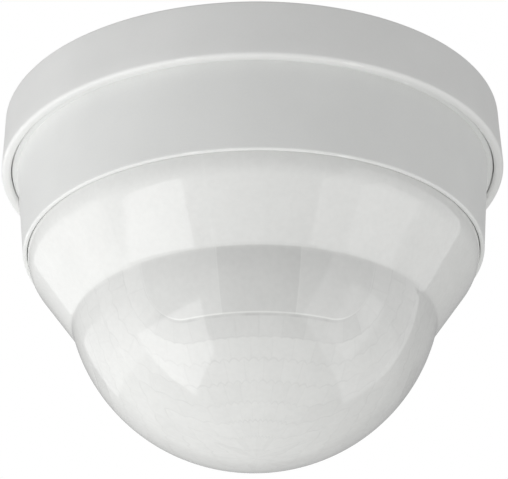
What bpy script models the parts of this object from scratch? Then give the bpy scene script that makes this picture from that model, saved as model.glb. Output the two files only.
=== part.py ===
"""A surface-mounted ceiling motion sensor: a shallow back box, a detector head that twist-locks into it,
and a pull-off cover of a plain ring and a domed, many-faceted lens. Metres, +Z up towards the ceiling,
with the origin at the centre of the face that lies on the ceiling."""

import math

import bmesh
import bpy
from mathutils import Matrix, Vector

MM = 0.001
GAP = 0.3 * MM  # left between pieces that touch
STEP = 0.1 * MM  # keeps two faces of one piece from lying on each other

# Smoothness of round shapes
WIDE_STEPS = 44
SMALL_STEPS = 16
FINE_STEPS = 12
TINY_STEPS = 8
ARC_STEPS = 4
DOME_STEPS = 9

# Back box
BOX_TOP_R = 49.9 * MM
RIM_OUTER_R = 50.5 * MM
RIM_INNER_R = 48.6 * MM
BOX_DEPTH = 12.3 * MM
PLATE = 2.6 * MM
EDGE = 0.6 * MM
RIM_ROUND = 0.8 * MM
HUB_R = 12.0 * MM
RELIEF_R = 36.0 * MM
RELIEF = 0.9 * MM
RIB_ANGLES = (22.5, 67.5, 112.5, 157.5)
RIB_WIDTH = 1.4 * MM
GROOVE_R = (42.9 * MM, 47.1 * MM)
GROOVE = 1.2 * MM
SLOT_SPACING = 60.0 * MM
SLOT_HALF_WIDTH = 2.2 * MM
SLOT_HALF_LENGTH = 4.5 * MM
SLOT_PAD_R = 6.5 * MM
CABLE_Y = 25.5 * MM
CABLE_HOLE_R = 8.0 * MM
CABLE_PAD_R = 12.0 * MM
CABLE_BORE_R = 4.6 * MM
FLANGE_SEAT_R = 10.3 * MM
FLANGE_SEAT = 1.0 * MM
GROMMET_BEAD_R = 9.0 * MM
GROMMET_BEAD = 1.0 * MM
GROMMET_NOZZLE_R = (6.0 * MM, 5.5 * MM)
GROMMET_FOOT = -8.0 * MM
KNOCKOUT_ANGLES = (0.0, 90.0, 180.0)
KNOCKOUT_R = 4.2 * MM
KNOCKOUT_WALL = 0.8 * MM
KNOCKOUT_REACH = 4.5 * MM
KNOCKOUT_Z = -7.2 * MM

# Twist lock between the box and the head
LOCK_ANGLES = (30.0, 150.0, 270.0)
LUG_HALF_ANGLE = 6.0
LUG_R = 46.9 * MM
LUG_Z = (-6.6 * MM, -5.2 * MM)
HOOK_R = (44.3 * MM, 49.0 * MM)
HOOK_Z = (-8.7 * MM, -7.1 * MM)
HOOK_ANGLES = (-7.0, 10.5)  # either side of the lug it carries
STOP_ANGLES = (6.5, 10.0)

# Head chassis
CHASSIS_R = 42.5 * MM
CHASSIS_WALL = 1.6 * MM
CHASSIS_TOP = -5.0 * MM
CHASSIS_PLATE = 1.8 * MM
CHASSIS_FOOT = -26.0 * MM
WELL_X = 22.0 * MM
WELL_Y = (8.0 * MM, 32.0 * MM)
WELL_FLOOR = -14.0 * MM
POST_R = 2.6 * MM
POST_CIRCLE_R = 37.1 * MM
POST_ANGLES = (90.0, 210.0, 330.0)
POST_FOOT = -19.3 * MM
PILOT_R = 1.3 * MM
PILOT_TOP = -10.5 * MM
TONGUE_ANGLES = (50.0, 170.0, 290.0)
TONGUE_HALF_WIDTH = 5.0 * MM
TONGUE_SLOT = 0.8 * MM
TONGUE_ROOT = -14.0 * MM
TONGUE_SLOT_DEPTH = 4.0 * MM
BUMP_R = 42.7 * MM
BUMP_HALF_ANGLE = 3.5
BUMP_Z = (-20.2 * MM, -18.8 * MM)
KEY_HALF_WIDTH = 1.0 * MM
KEY_R = 43.9 * MM
KEY_Z = (-25.5 * MM, -8.0 * MM)

# Terminal block
POLES = 4
POLE_PITCH = 8.0 * MM
BLOCK_SIZE = (34.0 * MM, 9.5 * MM, 8.2 * MM)
BLOCK_CENTRE = (0.0, 13.75 * MM, -9.6 * MM)
WIRE_ENTRY = 3.4 * MM
WIRE_ENTRY_RISE = 2.6 * MM
WIRE_ENTRY_DEPTH = 5.5 * MM
CLAMP_HOLE_R = 2.2 * MM
CLAMP_SCREW_R = 1.8 * MM
CLAMP_SCREW_Z = (-9.8 * MM, -6.3 * MM)
SCREW_SLOT = (4.0 * MM, 0.7 * MM, 1.6 * MM)
LEG_R = 0.6 * MM
LEG_HOLE_R = 1.0 * MM
LEG_Y = 11.5 * MM

# Circuit boards and what they carry
BOARD_R = 39.5 * MM
BOARD = 1.6 * MM
POWER_BOARD_TOP = -19.6 * MM
SENSOR_BOARD_TOP = -24.0 * MM
BOARD_HOLE_R = 1.4 * MM
PART_ROUND = 0.5 * MM
RELAY_SIZE = (20.0 * MM, 15.4 * MM, 11.2 * MM)
RELAY_AT = (-16.0 * MM, -8.0 * MM)
DROPPER_SIZE = (22.0 * MM, 9.0 * MM, 11.5 * MM)
DROPPER_AT = (14.5 * MM, -3.5 * MM)
SMOOTHING_R = 4.0 * MM
SMOOTHING_H = 11.5 * MM
SMOOTHING_CRIMP = 1.6 * MM
SMOOTHING_AT = (9.0 * MM, -20.0 * MM)
FUSE_R = 4.2 * MM
FUSE_H = 7.5 * MM
FUSE_AT = (-3.0 * MM, -27.0 * MM)
VARISTOR_R = 5.0 * MM
VARISTOR_W = 4.0 * MM
VARISTOR_RISE = 1.2 * MM
VARISTOR_LEG_R = 0.4 * MM
VARISTOR_LEG_X = 2.2 * MM
VARISTOR_AT = (21.0 * MM, -16.0 * MM)
HEADER_SIZE = (12.7 * MM, 5.0 * MM)
HEADER_AT = (-20.0 * MM, 12.0 * MM)

# Inner cover, with the controls that show through it
INNER_COVER_Z = (-29.8 * MM, -28.2 * MM)
WINDOW_R = 19.6 * MM
COLLAR_WALL = 1.4 * MM
COLLAR_FOOT = -31.4 * MM
CONTROL_Y = -27.0 * MM
DIAL_X = 14.0 * MM
DIAL_R = 4.4 * MM
DIAL_HOLE_R = 4.9 * MM
DIAL_Z = (-31.3 * MM, -28.1 * MM)
DIAL_NOTCHES = 18
DIAL_NOTCH = 0.3 * MM
POINTER = (1.0 * MM, 5.6 * MM, 2.0 * MM)
POINTER_OFFSET = 1.2 * MM
SPINDLE_R = 1.2 * MM
SPINDLE = 1.0 * MM
POT_SIZE = 9.0 * MM
POT_FOOT = -27.8 * MM
BUTTON_AT = (0.0, -32.5 * MM)
BUTTON_Z = -29.1 * MM  # where its cap meets its stem
BUTTON_STEM_R = 1.6 * MM
BUTTON_STEM = 1.4 * MM
BUTTON_CAP_R = 2.3 * MM
BUTTON_CAP = 2.1 * MM
BUTTON_HOLE_R = 2.9 * MM
SWITCH_SIZE = 6.0 * MM
SWITCH_FOOT = -28.0 * MM
LED_AT = (0.0, -25.0 * MM)
LED_R = 1.5 * MM
LED_LENGTH = 5.0 * MM
LED_HOLE_R = 2.1 * MM

# Head screws
HEAD_SCREW_R = 1.0 * MM
HEAD_SCREW_POINT_R = 0.6 * MM
HEAD_SCREW_TIP = -11.0 * MM
SCREW_HEAD_R = 2.3 * MM
SCREW_HEAD = 1.5 * MM
SCREW_RECESS = (3.0 * MM, 0.7 * MM, 1.6 * MM)

# Heat-sensor turret
TURRET_HALF = 13.5 * MM
TURRET_END_HALF = 4.5 * MM
TURRET_TOP = -25.9 * MM
TURRET_SHOULDER = -28.5 * MM
TURRET_END = -38.5 * MM
TURRET_ROUND = 0.8 * MM
SENSOR_ANGLES = (0.0, 90.0, 180.0, 270.0)
CAN_R = 4.15 * MM
CAN_ROUND = 0.4 * MM
CAN_FLANGE_R = 4.6 * MM
CAN_FLANGE = 0.5 * MM
CAN_H = 4.0 * MM
CAN_SEAT_R = 4.9 * MM
CAN_SEAT = 0.8 * MM
CAN_WINDOW = (4.0 * MM, 2.8 * MM, 0.4 * MM)
LIGHT_SENSOR_R = 2.4 * MM
LIGHT_SENSOR_BASE = 1.2 * MM
LIGHT_SENSOR_DOME = 1.7 * MM

# Cover ring
RING_TOP = -9.5 * MM
RING_INNER_R = 45.4 * MM
RING_WALL_R = 47.3 * MM
RING_WAIST = (46.75 * MM, -19.0 * MM)
RING_FOOT_R = 46.0 * MM
RING_FLANGE_R = 48.1 * MM
RING_FLANGE_Z = (-11.6 * MM, -10.2 * MM)
RING_FLANGE_ROUND = 0.2 * MM
RING_LIP_Z = -30.0 * MM
RING_LIP_INNER_R = 45.1 * MM
RING_LIP_ROUND = 0.5 * MM
SHELF_R = 43.1 * MM
SHELF_Z = (-25.9 * MM, -24.3 * MM)
CATCH_R = 43.3 * MM
CATCH_Z = (-18.5 * MM, -17.0 * MM)
CATCH_HALF_ANGLE = 4.0
KEY_NOTCH_HALF_ANGLE = 2.2

# Lens
LENS_WALL = 1.2 * MM
LENS_TOP = -26.2 * MM
LENS_COLLAR_R = 44.8 * MM
LENS_SHOULDER_Z = -30.0 * MM
LENS_SHOULDER_ROUND = 8.0 * MM
LENS_CONE_ANGLE = 55.6  # from the horizontal
DOME_CENTRE_Z = -37.0 * MM
DOME_R = 37.06 * MM
DOME_DEPTH = 36.3 * MM
HOOK_HALF_ANGLE = 5.0
HOOK_HEAD_HALF_ANGLE = 8.0
HOOK_HEAD = 1.2 * MM
HOOK_BAND = (43.7 * MM, 44.7 * MM)
LENS_HOOK_ANGLES = (45.0, 135.0, 225.0, 315.0)

# name: (colour, roughness, metallic)
FINISHES = {
    "box_white": ((0.83, 0.83, 0.81), 0.42, 0.0),
    "ring_white": ((0.80, 0.81, 0.79), 0.45, 0.0),
    "lens_milk": ((0.86, 0.87, 0.85), 0.16, 0.0),
    "inner_white": ((0.74, 0.75, 0.74), 0.5, 0.0),
    "chassis_grey": ((0.56, 0.57, 0.57), 0.5, 0.0),
    "rubber": ((0.05, 0.05, 0.05), 0.8, 0.0),
    "terminal_grey": ((0.32, 0.35, 0.37), 0.5, 0.0),
    "board_green": ((0.03, 0.16, 0.06), 0.4, 0.0),
    "relay_black": ((0.02, 0.02, 0.022), 0.35, 0.0),
    "film_yellow": ((0.70, 0.52, 0.10), 0.4, 0.0),
    "varistor_blue": ((0.05, 0.13, 0.42), 0.35, 0.0),
    "sleeve_black": ((0.03, 0.035, 0.05), 0.3, 0.0),
    "zinc": ((0.62, 0.63, 0.65), 0.3, 1.0),
    "can_steel": ((0.68, 0.66, 0.62), 0.25, 1.0),
    "window_dark": ((0.10, 0.09, 0.10), 0.15, 0.0),
    "control_blue": ((0.06, 0.20, 0.45), 0.4, 0.0),
    "control_orange": ((0.78, 0.26, 0.04), 0.4, 0.0),
    "led_red": ((0.65, 0.05, 0.04), 0.1, 0.0),
    "sensor_clear": ((0.45, 0.50, 0.58), 0.08, 0.0),
}


def start():
    """An empty file, with one collection for the parts and one for the cutters."""
    for item in list(bpy.data.objects):
        bpy.data.objects.remove(item)
    made = []
    for name in ("motion_sensor", "cutters"):
        collection = bpy.data.collections.new(name)
        bpy.context.scene.collection.children.link(collection)
        made.append(collection)
    return made


def circle(radius, steps=WIDE_STEPS, centre=(0.0, 0.0)):
    angles = [2 * math.pi * i / steps for i in range(steps)]
    return [(centre[0] + radius * math.cos(a), centre[1] + radius * math.sin(a)) for a in angles]


def sector(inner, outer, start_angle, end_angle):
    """A piece of a flat ring, between two angles in degrees."""
    outside = arc((0.0, 0.0), (outer, outer), start_angle, end_angle, ARC_STEPS)
    return outside + arc((0.0, 0.0), (inner, inner), end_angle, start_angle, ARC_STEPS)


def stadium(half_width, half_length, centre):
    """A slot along Y with round ends."""
    x, y = centre
    reach = half_length - half_width
    radii = (half_width, half_width)
    far_end = arc((x, y + reach), radii, 0, 180, FINE_STEPS // 2)
    return far_end + arc((x, y - reach), radii, 180, 360, FINE_STEPS // 2)


def on_circle(radius, angle):
    return (radius * math.cos(math.radians(angle)), radius * math.sin(math.radians(angle)))


def arc(centre, radii, start_angle, end_angle, steps):
    """Points along an ellipse between two angles in degrees."""
    points = []
    for i in range(steps + 1):
        angle = math.radians(start_angle + (end_angle - start_angle) * i / steps)
        points.append((centre[0] + radii[0] * math.cos(angle), centre[1] + radii[1] * math.sin(angle)))
    return points


def placed(name, mesh, location=(0.0, 0.0, 0.0)):
    """An object of this mesh in the parts' collection."""
    piece = bpy.data.objects.new(name, mesh)
    piece.location = location
    PARTS.objects.link(piece)
    return piece


def smooth(piece):
    piece.data.shade_smooth()
    piece.data.set_sharp_from_angle(angle=math.radians(35))


def turned(name, profile, steps=WIDE_STEPS, location=(0.0, 0.0, 0.0)):
    """A round piece: its profile, (r, z) down its outer side from the top, swept round Z."""
    points = [(r, 0.0, z) for r, z in profile]
    edges = [(i, i + 1) for i in range(len(points) - 1)]
    if min(r for r, z in profile) > 0:
        edges.append((len(points) - 1, 0))
    mesh = bpy.data.meshes.new(name)
    mesh.from_pydata(points, edges, [])
    piece = placed(name, mesh, location)
    sweep = piece.modifiers.new("sweep", "SCREW")
    sweep.axis = "Z"
    sweep.steps = steps
    sweep.render_steps = steps
    sweep.use_merge_vertices = True
    sweep.merge_threshold = 0.000001
    sweep.use_smooth_shade = True
    return piece


def slab(name, outlines, low, high, location=(0.0, 0.0, 0.0)):
    """A flat piece with these outlines, an inner one being a hole, between two heights."""
    curve = bpy.data.curves.new(name, "CURVE")
    curve.dimensions = "2D"
    curve.fill_mode = "BOTH"
    curve.extrude = (high - low) / 2
    for outline in outlines:
        spline = curve.splines.new("POLY")
        spline.points.add(len(outline) - 1)
        for point, (x, y) in zip(spline.points, outline):
            point.co = (x, y, 0.0, 1.0)
        spline.use_cyclic_u = True
    guide = placed(name, curve, (0.0, 0.0, (low + high) / 2))
    bpy.context.view_layer.update()
    mesh = bpy.data.meshes.new_from_object(guide.evaluated_get(bpy.context.evaluated_depsgraph_get()))
    mesh.transform(guide.matrix_world)
    bpy.data.objects.remove(guide)
    shape = bmesh.new()
    shape.from_mesh(mesh)
    bmesh.ops.remove_doubles(shape, verts=shape.verts, dist=0.000001)
    shape.to_mesh(mesh)
    shape.free()
    piece = placed(name, mesh, location)
    smooth(piece)
    return piece


def block(name, size, centre, location=(0.0, 0.0, 0.0), turn=0.0):
    """A box of this size about a centre, turned about Z by an angle in degrees."""
    shape = bmesh.new()
    scaling = Matrix.Diagonal((*size, 1.0))
    place = Matrix.Rotation(math.radians(turn), 4, "Z") @ Matrix.Translation(centre) @ scaling
    bmesh.ops.create_cube(shape, size=1.0, matrix=place)
    mesh = bpy.data.meshes.new(name)
    shape.to_mesh(mesh)
    shape.free()
    return placed(name, mesh, location)


def rods(name, radius, low, high, centres, steps=FINE_STEPS):
    """Upright cylinders that stand apart, as one object."""
    shape = bmesh.new()
    for x, y in centres:
        bmesh.ops.create_cone(
            shape,
            cap_ends=True,
            segments=steps,
            radius1=radius,
            radius2=radius,
            depth=high - low,
            matrix=Matrix.Translation((x, y, (low + high) / 2)),
        )
    mesh = bpy.data.meshes.new(name)
    shape.to_mesh(mesh)
    shape.free()
    return placed(name, mesh)


def gathered(name, pieces):
    """Several shapes that stand apart, as one object."""
    shape = bmesh.new()
    for piece in pieces:
        piece.data.transform(piece.matrix_basis)
        shape.from_mesh(piece.data)
        bpy.data.objects.remove(piece)
    mesh = bpy.data.meshes.new(name)
    shape.to_mesh(mesh)
    shape.free()
    return placed(name, mesh)


def changed(piece, tool, operation):
    """The piece cut by, or joined to, a tool that isn't a part itself."""
    PARTS.objects.unlink(tool)
    CUTTERS.objects.link(tool)
    tool.hide_render = True
    tool.display_type = "WIRE"
    boolean = piece.modifiers.new(tool.name, "BOOLEAN")
    boolean.operation = operation
    boolean.solver = "EXACT"
    boolean.object = tool
    return piece


def cut(piece, *tools):
    for tool in tools:
        changed(piece, tool, "DIFFERENCE")
    return piece


def joined(piece, *tools):
    for tool in tools:
        changed(piece, tool, "UNION")
    return piece


def rounded(piece, width, segments=2):
    bevel = piece.modifiers.new("rounded_edges", "BEVEL")
    bevel.width = width
    bevel.segments = segments
    bevel.limit_method = "ANGLE"
    bevel.angle_limit = math.radians(40)
    return piece


def finished(piece, finish):
    """The piece in a material of its own."""
    colour, roughness, metallic = FINISHES[finish]
    material = bpy.data.materials.new(piece.name)
    material.use_nodes = True
    shader = material.node_tree.nodes["Principled BSDF"]
    shader.inputs["Base Color"].default_value = (*colour, 1.0)
    shader.inputs["Roughness"].default_value = roughness
    shader.inputs["Metallic"].default_value = metallic
    piece.data.materials.append(material)
    return piece


# The back box and its seals


def box_profile():
    """From the middle of the back, out and down the wall, round the rim and back along the inside."""
    rim_z = -BOX_DEPTH + RIM_ROUND
    inner_z = -BOX_DEPTH + EDGE
    return [
        (0.0, 0.0),
        (HUB_R, 0.0),
        (HUB_R, -RELIEF),
        (RELIEF_R, -RELIEF),
        (RELIEF_R, 0.0),
        (GROOVE_R[0], 0.0),
        (GROOVE_R[0], -GROOVE),
        (GROOVE_R[1], -GROOVE),
        (GROOVE_R[1], 0.0),
        *arc((BOX_TOP_R - EDGE, -EDGE), (EDGE, EDGE), 90, 0, 3),
        *arc((RIM_OUTER_R - RIM_ROUND, rim_z), (RIM_ROUND, RIM_ROUND), 0, -90, 4),
        *arc((RIM_INNER_R + EDGE, inner_z), (EDGE, EDGE), -90, -180, 4),
        (RIM_INNER_R - EDGE, -PLATE - 2 * EDGE),
        (RIM_INNER_R - 3 * EDGE, -PLATE),
        (0.0, -PLATE),
    ]


def make_box():
    box = turned("surface_mount_box", box_profile())
    rib_size = (2 * RELIEF_R + MM, RIB_WIDTH, RELIEF + GAP)
    ribs = [block("back_rib", rib_size, (0.0, 0.0, -rib_size[2] / 2), turn=turn) for turn in RIB_ANGLES]
    slots = [(side * SLOT_SPACING / 2, 0.0) for side in (-1, 1)]
    pads = rods("slot_pads", SLOT_PAD_R, -RELIEF - GAP, 0.0, slots, SMALL_STEPS)
    cable_pad = rods("cable_pad", CABLE_PAD_R, -RELIEF - GAP, 0.0, [(0.0, CABLE_Y)], SMALL_STEPS)
    hooks = [sector(*HOOK_R, at + HOOK_ANGLES[0], at + HOOK_ANGLES[1]) for at in LOCK_ANGLES]
    stop_r = (HOOK_R[0] + GAP, HOOK_R[1] - GAP)
    stops = [sector(*stop_r, at + STOP_ANGLES[0], at + STOP_ANGLES[1]) for at in LOCK_ANGLES]
    joined(box, *ribs, pads, cable_pad)
    joined(box, slab("lock_hooks", hooks, *HOOK_Z), slab("lock_stops", stops, HOOK_Z[0] + GAP, -PLATE + GAP))
    through = (-2 * PLATE, PLATE)
    slot_outlines = [stadium(SLOT_HALF_WIDTH, SLOT_HALF_LENGTH, at) for at in slots]
    cut(box, slab("fixing_slots", slot_outlines, *through))
    cut(box, rods("cable_hole", CABLE_HOLE_R, *through, [(0.0, CABLE_Y)], SMALL_STEPS))
    cut(box, rods("flange_seat", FLANGE_SEAT_R, -FLANGE_SEAT, PLATE, [(0.0, CABLE_Y)], SMALL_STEPS))
    cut(box, knockout_pockets())
    return finished(box, "box_white")


def knockout_pockets():
    """Blind round pockets inside the wall, where a cable from the side can be broken through."""
    pockets = []
    reach = BOX_TOP_R - KNOCKOUT_WALL
    for angle in KNOCKOUT_ANGLES:
        pocket = rods("pocket", KNOCKOUT_R, reach - KNOCKOUT_REACH, reach, [(0.0, 0.0)], SMALL_STEPS)
        out = Vector((*on_circle(1.0, angle), 0.0))
        pocket.data.transform(out.to_track_quat("Z", "Y").to_matrix().to_4x4())
        pocket.data.transform(Matrix.Translation((0.0, 0.0, KNOCKOUT_Z)))
        pockets.append(pocket)
    return gathered("knockout_pockets", pockets)


def make_gasket():
    low = -GROOVE + GAP
    inner, outer = GROOVE_R[0] + GAP, GROOVE_R[1] - GAP
    profile = [(inner, 0.0), (outer, 0.0), (outer, low), (inner, low)]
    return finished(turned("ceiling_gasket", profile), "rubber")


def make_grommet():
    """A soft sleeve that lines the cable hole, with a tapered nozzle below it."""
    flange_r = FLANGE_SEAT_R - GAP
    neck_r = CABLE_HOLE_R - GAP
    below = -PLATE - GAP
    profile = [
        (CABLE_BORE_R, 0.0),
        (flange_r, 0.0),
        (flange_r, -FLANGE_SEAT + GAP),
        (neck_r, -FLANGE_SEAT + GAP),
        (neck_r, below),
        (GROMMET_BEAD_R, below),
        (GROMMET_BEAD_R, below - GROMMET_BEAD),
        (GROMMET_NOZZLE_R[0], below - 1.4 * GROMMET_BEAD),
        (GROMMET_NOZZLE_R[1], GROMMET_FOOT),
        (CABLE_BORE_R, GROMMET_FOOT),
    ]
    return finished(turned("cable_grommet", profile, SMALL_STEPS, (0.0, CABLE_Y, 0.0)), "rubber")


# The head: chassis, terminals and boards


def post_centres():
    return [on_circle(POST_CIRCLE_R, angle) for angle in POST_ANGLES]


def pole_centres():
    first = -POLE_PITCH * (POLES - 1) / 2
    return [first + POLE_PITCH * i for i in range(POLES)]


def make_chassis():
    inner = CHASSIS_R - CHASSIS_WALL
    ceiling = CHASSIS_TOP - CHASSIS_PLATE
    chassis = turned(
        "head_chassis",
        [
            (0.0, CHASSIS_TOP),
            *arc((CHASSIS_R - EDGE, CHASSIS_TOP - EDGE), (EDGE, EDGE), 90, 0, 2),
            (CHASSIS_R, CHASSIS_FOOT),
            (inner, CHASSIS_FOOT),
            (inner, ceiling),
            (0.0, ceiling),
        ],
    )
    tub_top = CHASSIS_TOP - CHASSIS_PLATE / 2
    well_depth = WELL_Y[1] - WELL_Y[0]
    well_middle = (WELL_Y[0] + WELL_Y[1]) / 2
    tub_foot = WELL_FLOOR - CHASSIS_WALL
    tub_size = (2 * (WELL_X + CHASSIS_WALL), well_depth + 2 * CHASSIS_WALL, tub_top - tub_foot)
    joined(chassis, block("tub", tub_size, (0.0, well_middle, (tub_top + tub_foot) / 2)))
    joined(chassis, rods("posts", POST_R, POST_FOOT, tub_top, post_centres()))
    root = CHASSIS_R - CHASSIS_WALL / 2
    lugs = [sector(root, LUG_R, at - LUG_HALF_ANGLE, at + LUG_HALF_ANGLE) for at in LOCK_ANGLES]
    joined(chassis, slab("lock_lugs", lugs, *LUG_Z))
    bumps = [sector(root, BUMP_R, at - BUMP_HALF_ANGLE, at + BUMP_HALF_ANGLE) for at in TONGUE_ANGLES]
    joined(chassis, slab("catch_bumps", bumps, *BUMP_Z))
    key_depth = KEY_R - root
    key_size = (key_depth, 2 * KEY_HALF_WIDTH, KEY_Z[1] - KEY_Z[0])
    joined(chassis, block("key", key_size, (KEY_R - key_depth / 2, 0.0, sum(KEY_Z) / 2)))
    well_size = (2 * WELL_X, well_depth, -WELL_FLOOR)
    cut(chassis, block("well", well_size, (0.0, well_middle, WELL_FLOOR / 2)))
    legs = [(x, LEG_Y) for x in pole_centres()]
    cut(chassis, rods("leg_holes", LEG_HOLE_R, tub_foot - MM, WELL_FLOOR + MM, legs))
    cut(chassis, rods("pilot_holes", PILOT_R, POST_FOOT - MM, PILOT_TOP, post_centres()))
    cut(chassis, tongue_slots())
    return finished(chassis, "chassis_grey")


def tongue_slots():
    """Upright slots, two beside each springy tongue, open at the foot of the wall."""
    slots = []
    low = CHASSIS_FOOT - MM
    for angle in TONGUE_ANGLES:
        for side in (-1, 1):
            size = (TONGUE_SLOT_DEPTH, TONGUE_SLOT, TONGUE_ROOT - low)
            centre = (CHASSIS_R - CHASSIS_WALL / 2, side * TONGUE_HALF_WIDTH, (TONGUE_ROOT + low) / 2)
            slots.append(block("slot", size, centre, turn=angle))
    return gathered("tongue_slots", slots)


def make_terminals():
    """The block with its wire entries and soldered legs, and a clamp screw for each pole."""
    housing = rounded(block("terminal_block", BLOCK_SIZE, BLOCK_CENTRE), PART_ROUND)
    top = BLOCK_CENTRE[2] + BLOCK_SIZE[2] / 2
    front = BLOCK_CENTRE[1] + BLOCK_SIZE[1] / 2
    foot = BLOCK_CENTRE[2] - BLOCK_SIZE[2] / 2
    holes = [(x, BLOCK_CENTRE[1]) for x in pole_centres()]
    entries = []
    for x in pole_centres():
        centre = (x, front, foot + WIRE_ENTRY_RISE)
        entries.append(block("entry", (WIRE_ENTRY, 2 * WIRE_ENTRY_DEPTH, WIRE_ENTRY), centre))
    legs = [(x, LEG_Y) for x in pole_centres()]
    joined(housing, rods("block_legs", LEG_R, POST_FOOT, foot + MM, legs, TINY_STEPS))
    cut(housing, rods("clamp_holes", CLAMP_HOLE_R, CLAMP_SCREW_Z[0] - GAP, top + MM, holes))
    cut(housing, gathered("wire_entries", entries))
    pieces = [finished(housing, "terminal_grey")]
    for number, (x, y) in enumerate(holes, 1):
        low, high = CLAMP_SCREW_Z
        height = high - low
        profile = [(0.0, height), (CLAMP_SCREW_R, height), (CLAMP_SCREW_R, 0.0), (0.0, 0.0)]
        screw = turned(f"terminal_screw_{number}", profile, FINE_STEPS, (x, y, low))
        slot = block(f"clamp_slot_{number}", SCREW_SLOT, (x, y, high))
        pieces.append(finished(cut(screw, slot), "zinc"))
    return pieces


def make_boards():
    holes = [circle(BOARD_HOLE_R, FINE_STEPS, at) for at in post_centres()]
    pieces = []
    for name, top in (("power_board", POWER_BOARD_TOP), ("sensor_board", SENSOR_BOARD_TOP)):
        board = slab(name, [circle(BOARD_R), *holes], top - BOARD, top)
        pieces.append(finished(board, "board_green"))
    return pieces


def make_spacers():
    pieces = []
    low = SENSOR_BOARD_TOP + GAP
    height = POWER_BOARD_TOP - BOARD - GAP - low
    for number, at in enumerate(post_centres(), 1):
        profile = [(PILOT_R + GAP, height), (POST_R, height), (POST_R, 0.0), (PILOT_R + GAP, 0.0)]
        spacer = turned(f"board_spacer_{number}", profile, SMALL_STEPS, (*at, low))
        pieces.append(finished(spacer, "inner_white"))
    return pieces


def make_power_parts():
    """What stands on the power board: relay, mains capacitor, fuse, varistor and smoothing capacitor."""
    foot = POWER_BOARD_TOP + GAP
    pieces = []
    for name, size, at, finish in (
        ("relay", RELAY_SIZE, RELAY_AT, "relay_black"),
        ("dropper_capacitor", DROPPER_SIZE, DROPPER_AT, "film_yellow"),
    ):
        part = rounded(block(name, size, (0.0, 0.0, size[2] / 2), (*at, foot)), PART_ROUND)
        pieces.append(finished(part, finish))
    pieces.append(make_smoothing_capacitor(foot))
    top_edge = arc((FUSE_R - EDGE, FUSE_H - EDGE), (EDGE, EDGE), 90, 0, 3)
    profile = [(0.0, FUSE_H), *top_edge, (FUSE_R, 0.0), (0.0, 0.0)]
    pieces.append(finished(turned("fuse", profile, SMALL_STEPS, (*FUSE_AT, foot)), "relay_black"))
    pieces.append(make_varistor(foot))
    height = POWER_BOARD_TOP - BOARD - SENSOR_BOARD_TOP - 2 * GAP
    header_size = (*HEADER_SIZE, height)
    header_place = (*HEADER_AT, SENSOR_BOARD_TOP + GAP)
    header = block("board_connector", header_size, (0.0, 0.0, height / 2), header_place)
    pieces.append(finished(rounded(header, GAP, 1), "relay_black"))
    return pieces


def make_smoothing_capacitor(foot):
    """A sleeved can with a crimp near its foot and a shallow dish in its top."""
    radius, height, crimp = SMOOTHING_R, SMOOTHING_H, SMOOTHING_CRIMP
    profile = [
        (0.0, height - GAP),
        (radius - 2 * PART_ROUND, height - GAP),
        (radius - PART_ROUND, height),
        (radius, height - PART_ROUND),
        (radius, 2 * crimp),
        (radius - PART_ROUND, 1.5 * crimp),
        (radius, crimp),
        (radius, 0.0),
        (0.0, 0.0),
    ]
    capacitor = turned("smoothing_capacitor", profile, SMALL_STEPS, (*SMOOTHING_AT, foot))
    return finished(capacitor, "sleeve_black")


def make_varistor(foot):
    """A dipped disc standing on two wires."""
    middle = VARISTOR_R + VARISTOR_RISE
    half = VARISTOR_W / 2
    profile = [(0.0, half), *arc((VARISTOR_R - half, 0.0), (half, half), 90, -90, 6), (0.0, -half)]
    disc = turned("varistor", profile, SMALL_STEPS, (*VARISTOR_AT, foot + middle))
    disc.rotation_euler = (math.radians(90), 0.0, 0.0)
    x, y = VARISTOR_AT
    feet = [(x + side * VARISTOR_LEG_X, y) for side in (-1, 1)]
    legs = rods("varistor_legs", VARISTOR_LEG_R, foot, foot + 3 * VARISTOR_RISE, feet, TINY_STEPS)
    return finished(joined(disc, legs), "varistor_blue")


# The inner cover and its controls


def make_inner_cover():
    bosses = post_centres()
    dials = [(side * DIAL_X, CONTROL_Y) for side in (-1, 1)]
    holes = [circle(WINDOW_R, WIDE_STEPS // 2)]
    holes += [circle(BOARD_HOLE_R, FINE_STEPS, at) for at in bosses]
    holes += [circle(DIAL_HOLE_R, SMALL_STEPS, at) for at in dials]
    holes += [circle(BUTTON_HOLE_R, FINE_STEPS, BUTTON_AT), circle(LED_HOLE_R, FINE_STEPS, LED_AT)]
    cover = slab("inner_cover", [circle(CHASSIS_R), *holes], *INNER_COVER_Z)
    inner = CHASSIS_R - CHASSIS_WALL
    middle = sum(INNER_COVER_Z) / 2
    wall = [circle(CHASSIS_R - STEP), circle(inner)]
    joined(cover, slab("inner_cover_wall", wall, middle, CHASSIS_FOOT - GAP))
    collar = [circle(radius, WIDE_STEPS // 2) for radius in (WINDOW_R + COLLAR_WALL, WINDOW_R + STEP)]
    joined(cover, slab("inner_cover_collar", collar, COLLAR_FOOT, middle))
    tubes = [circle(radius, FINE_STEPS, at) for radius in (POST_R, BOARD_HOLE_R + STEP) for at in bosses]
    joined(cover, slab("inner_cover_bosses", tubes, middle, SENSOR_BOARD_TOP - BOARD - GAP))
    return finished(cover, "inner_white")


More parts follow.
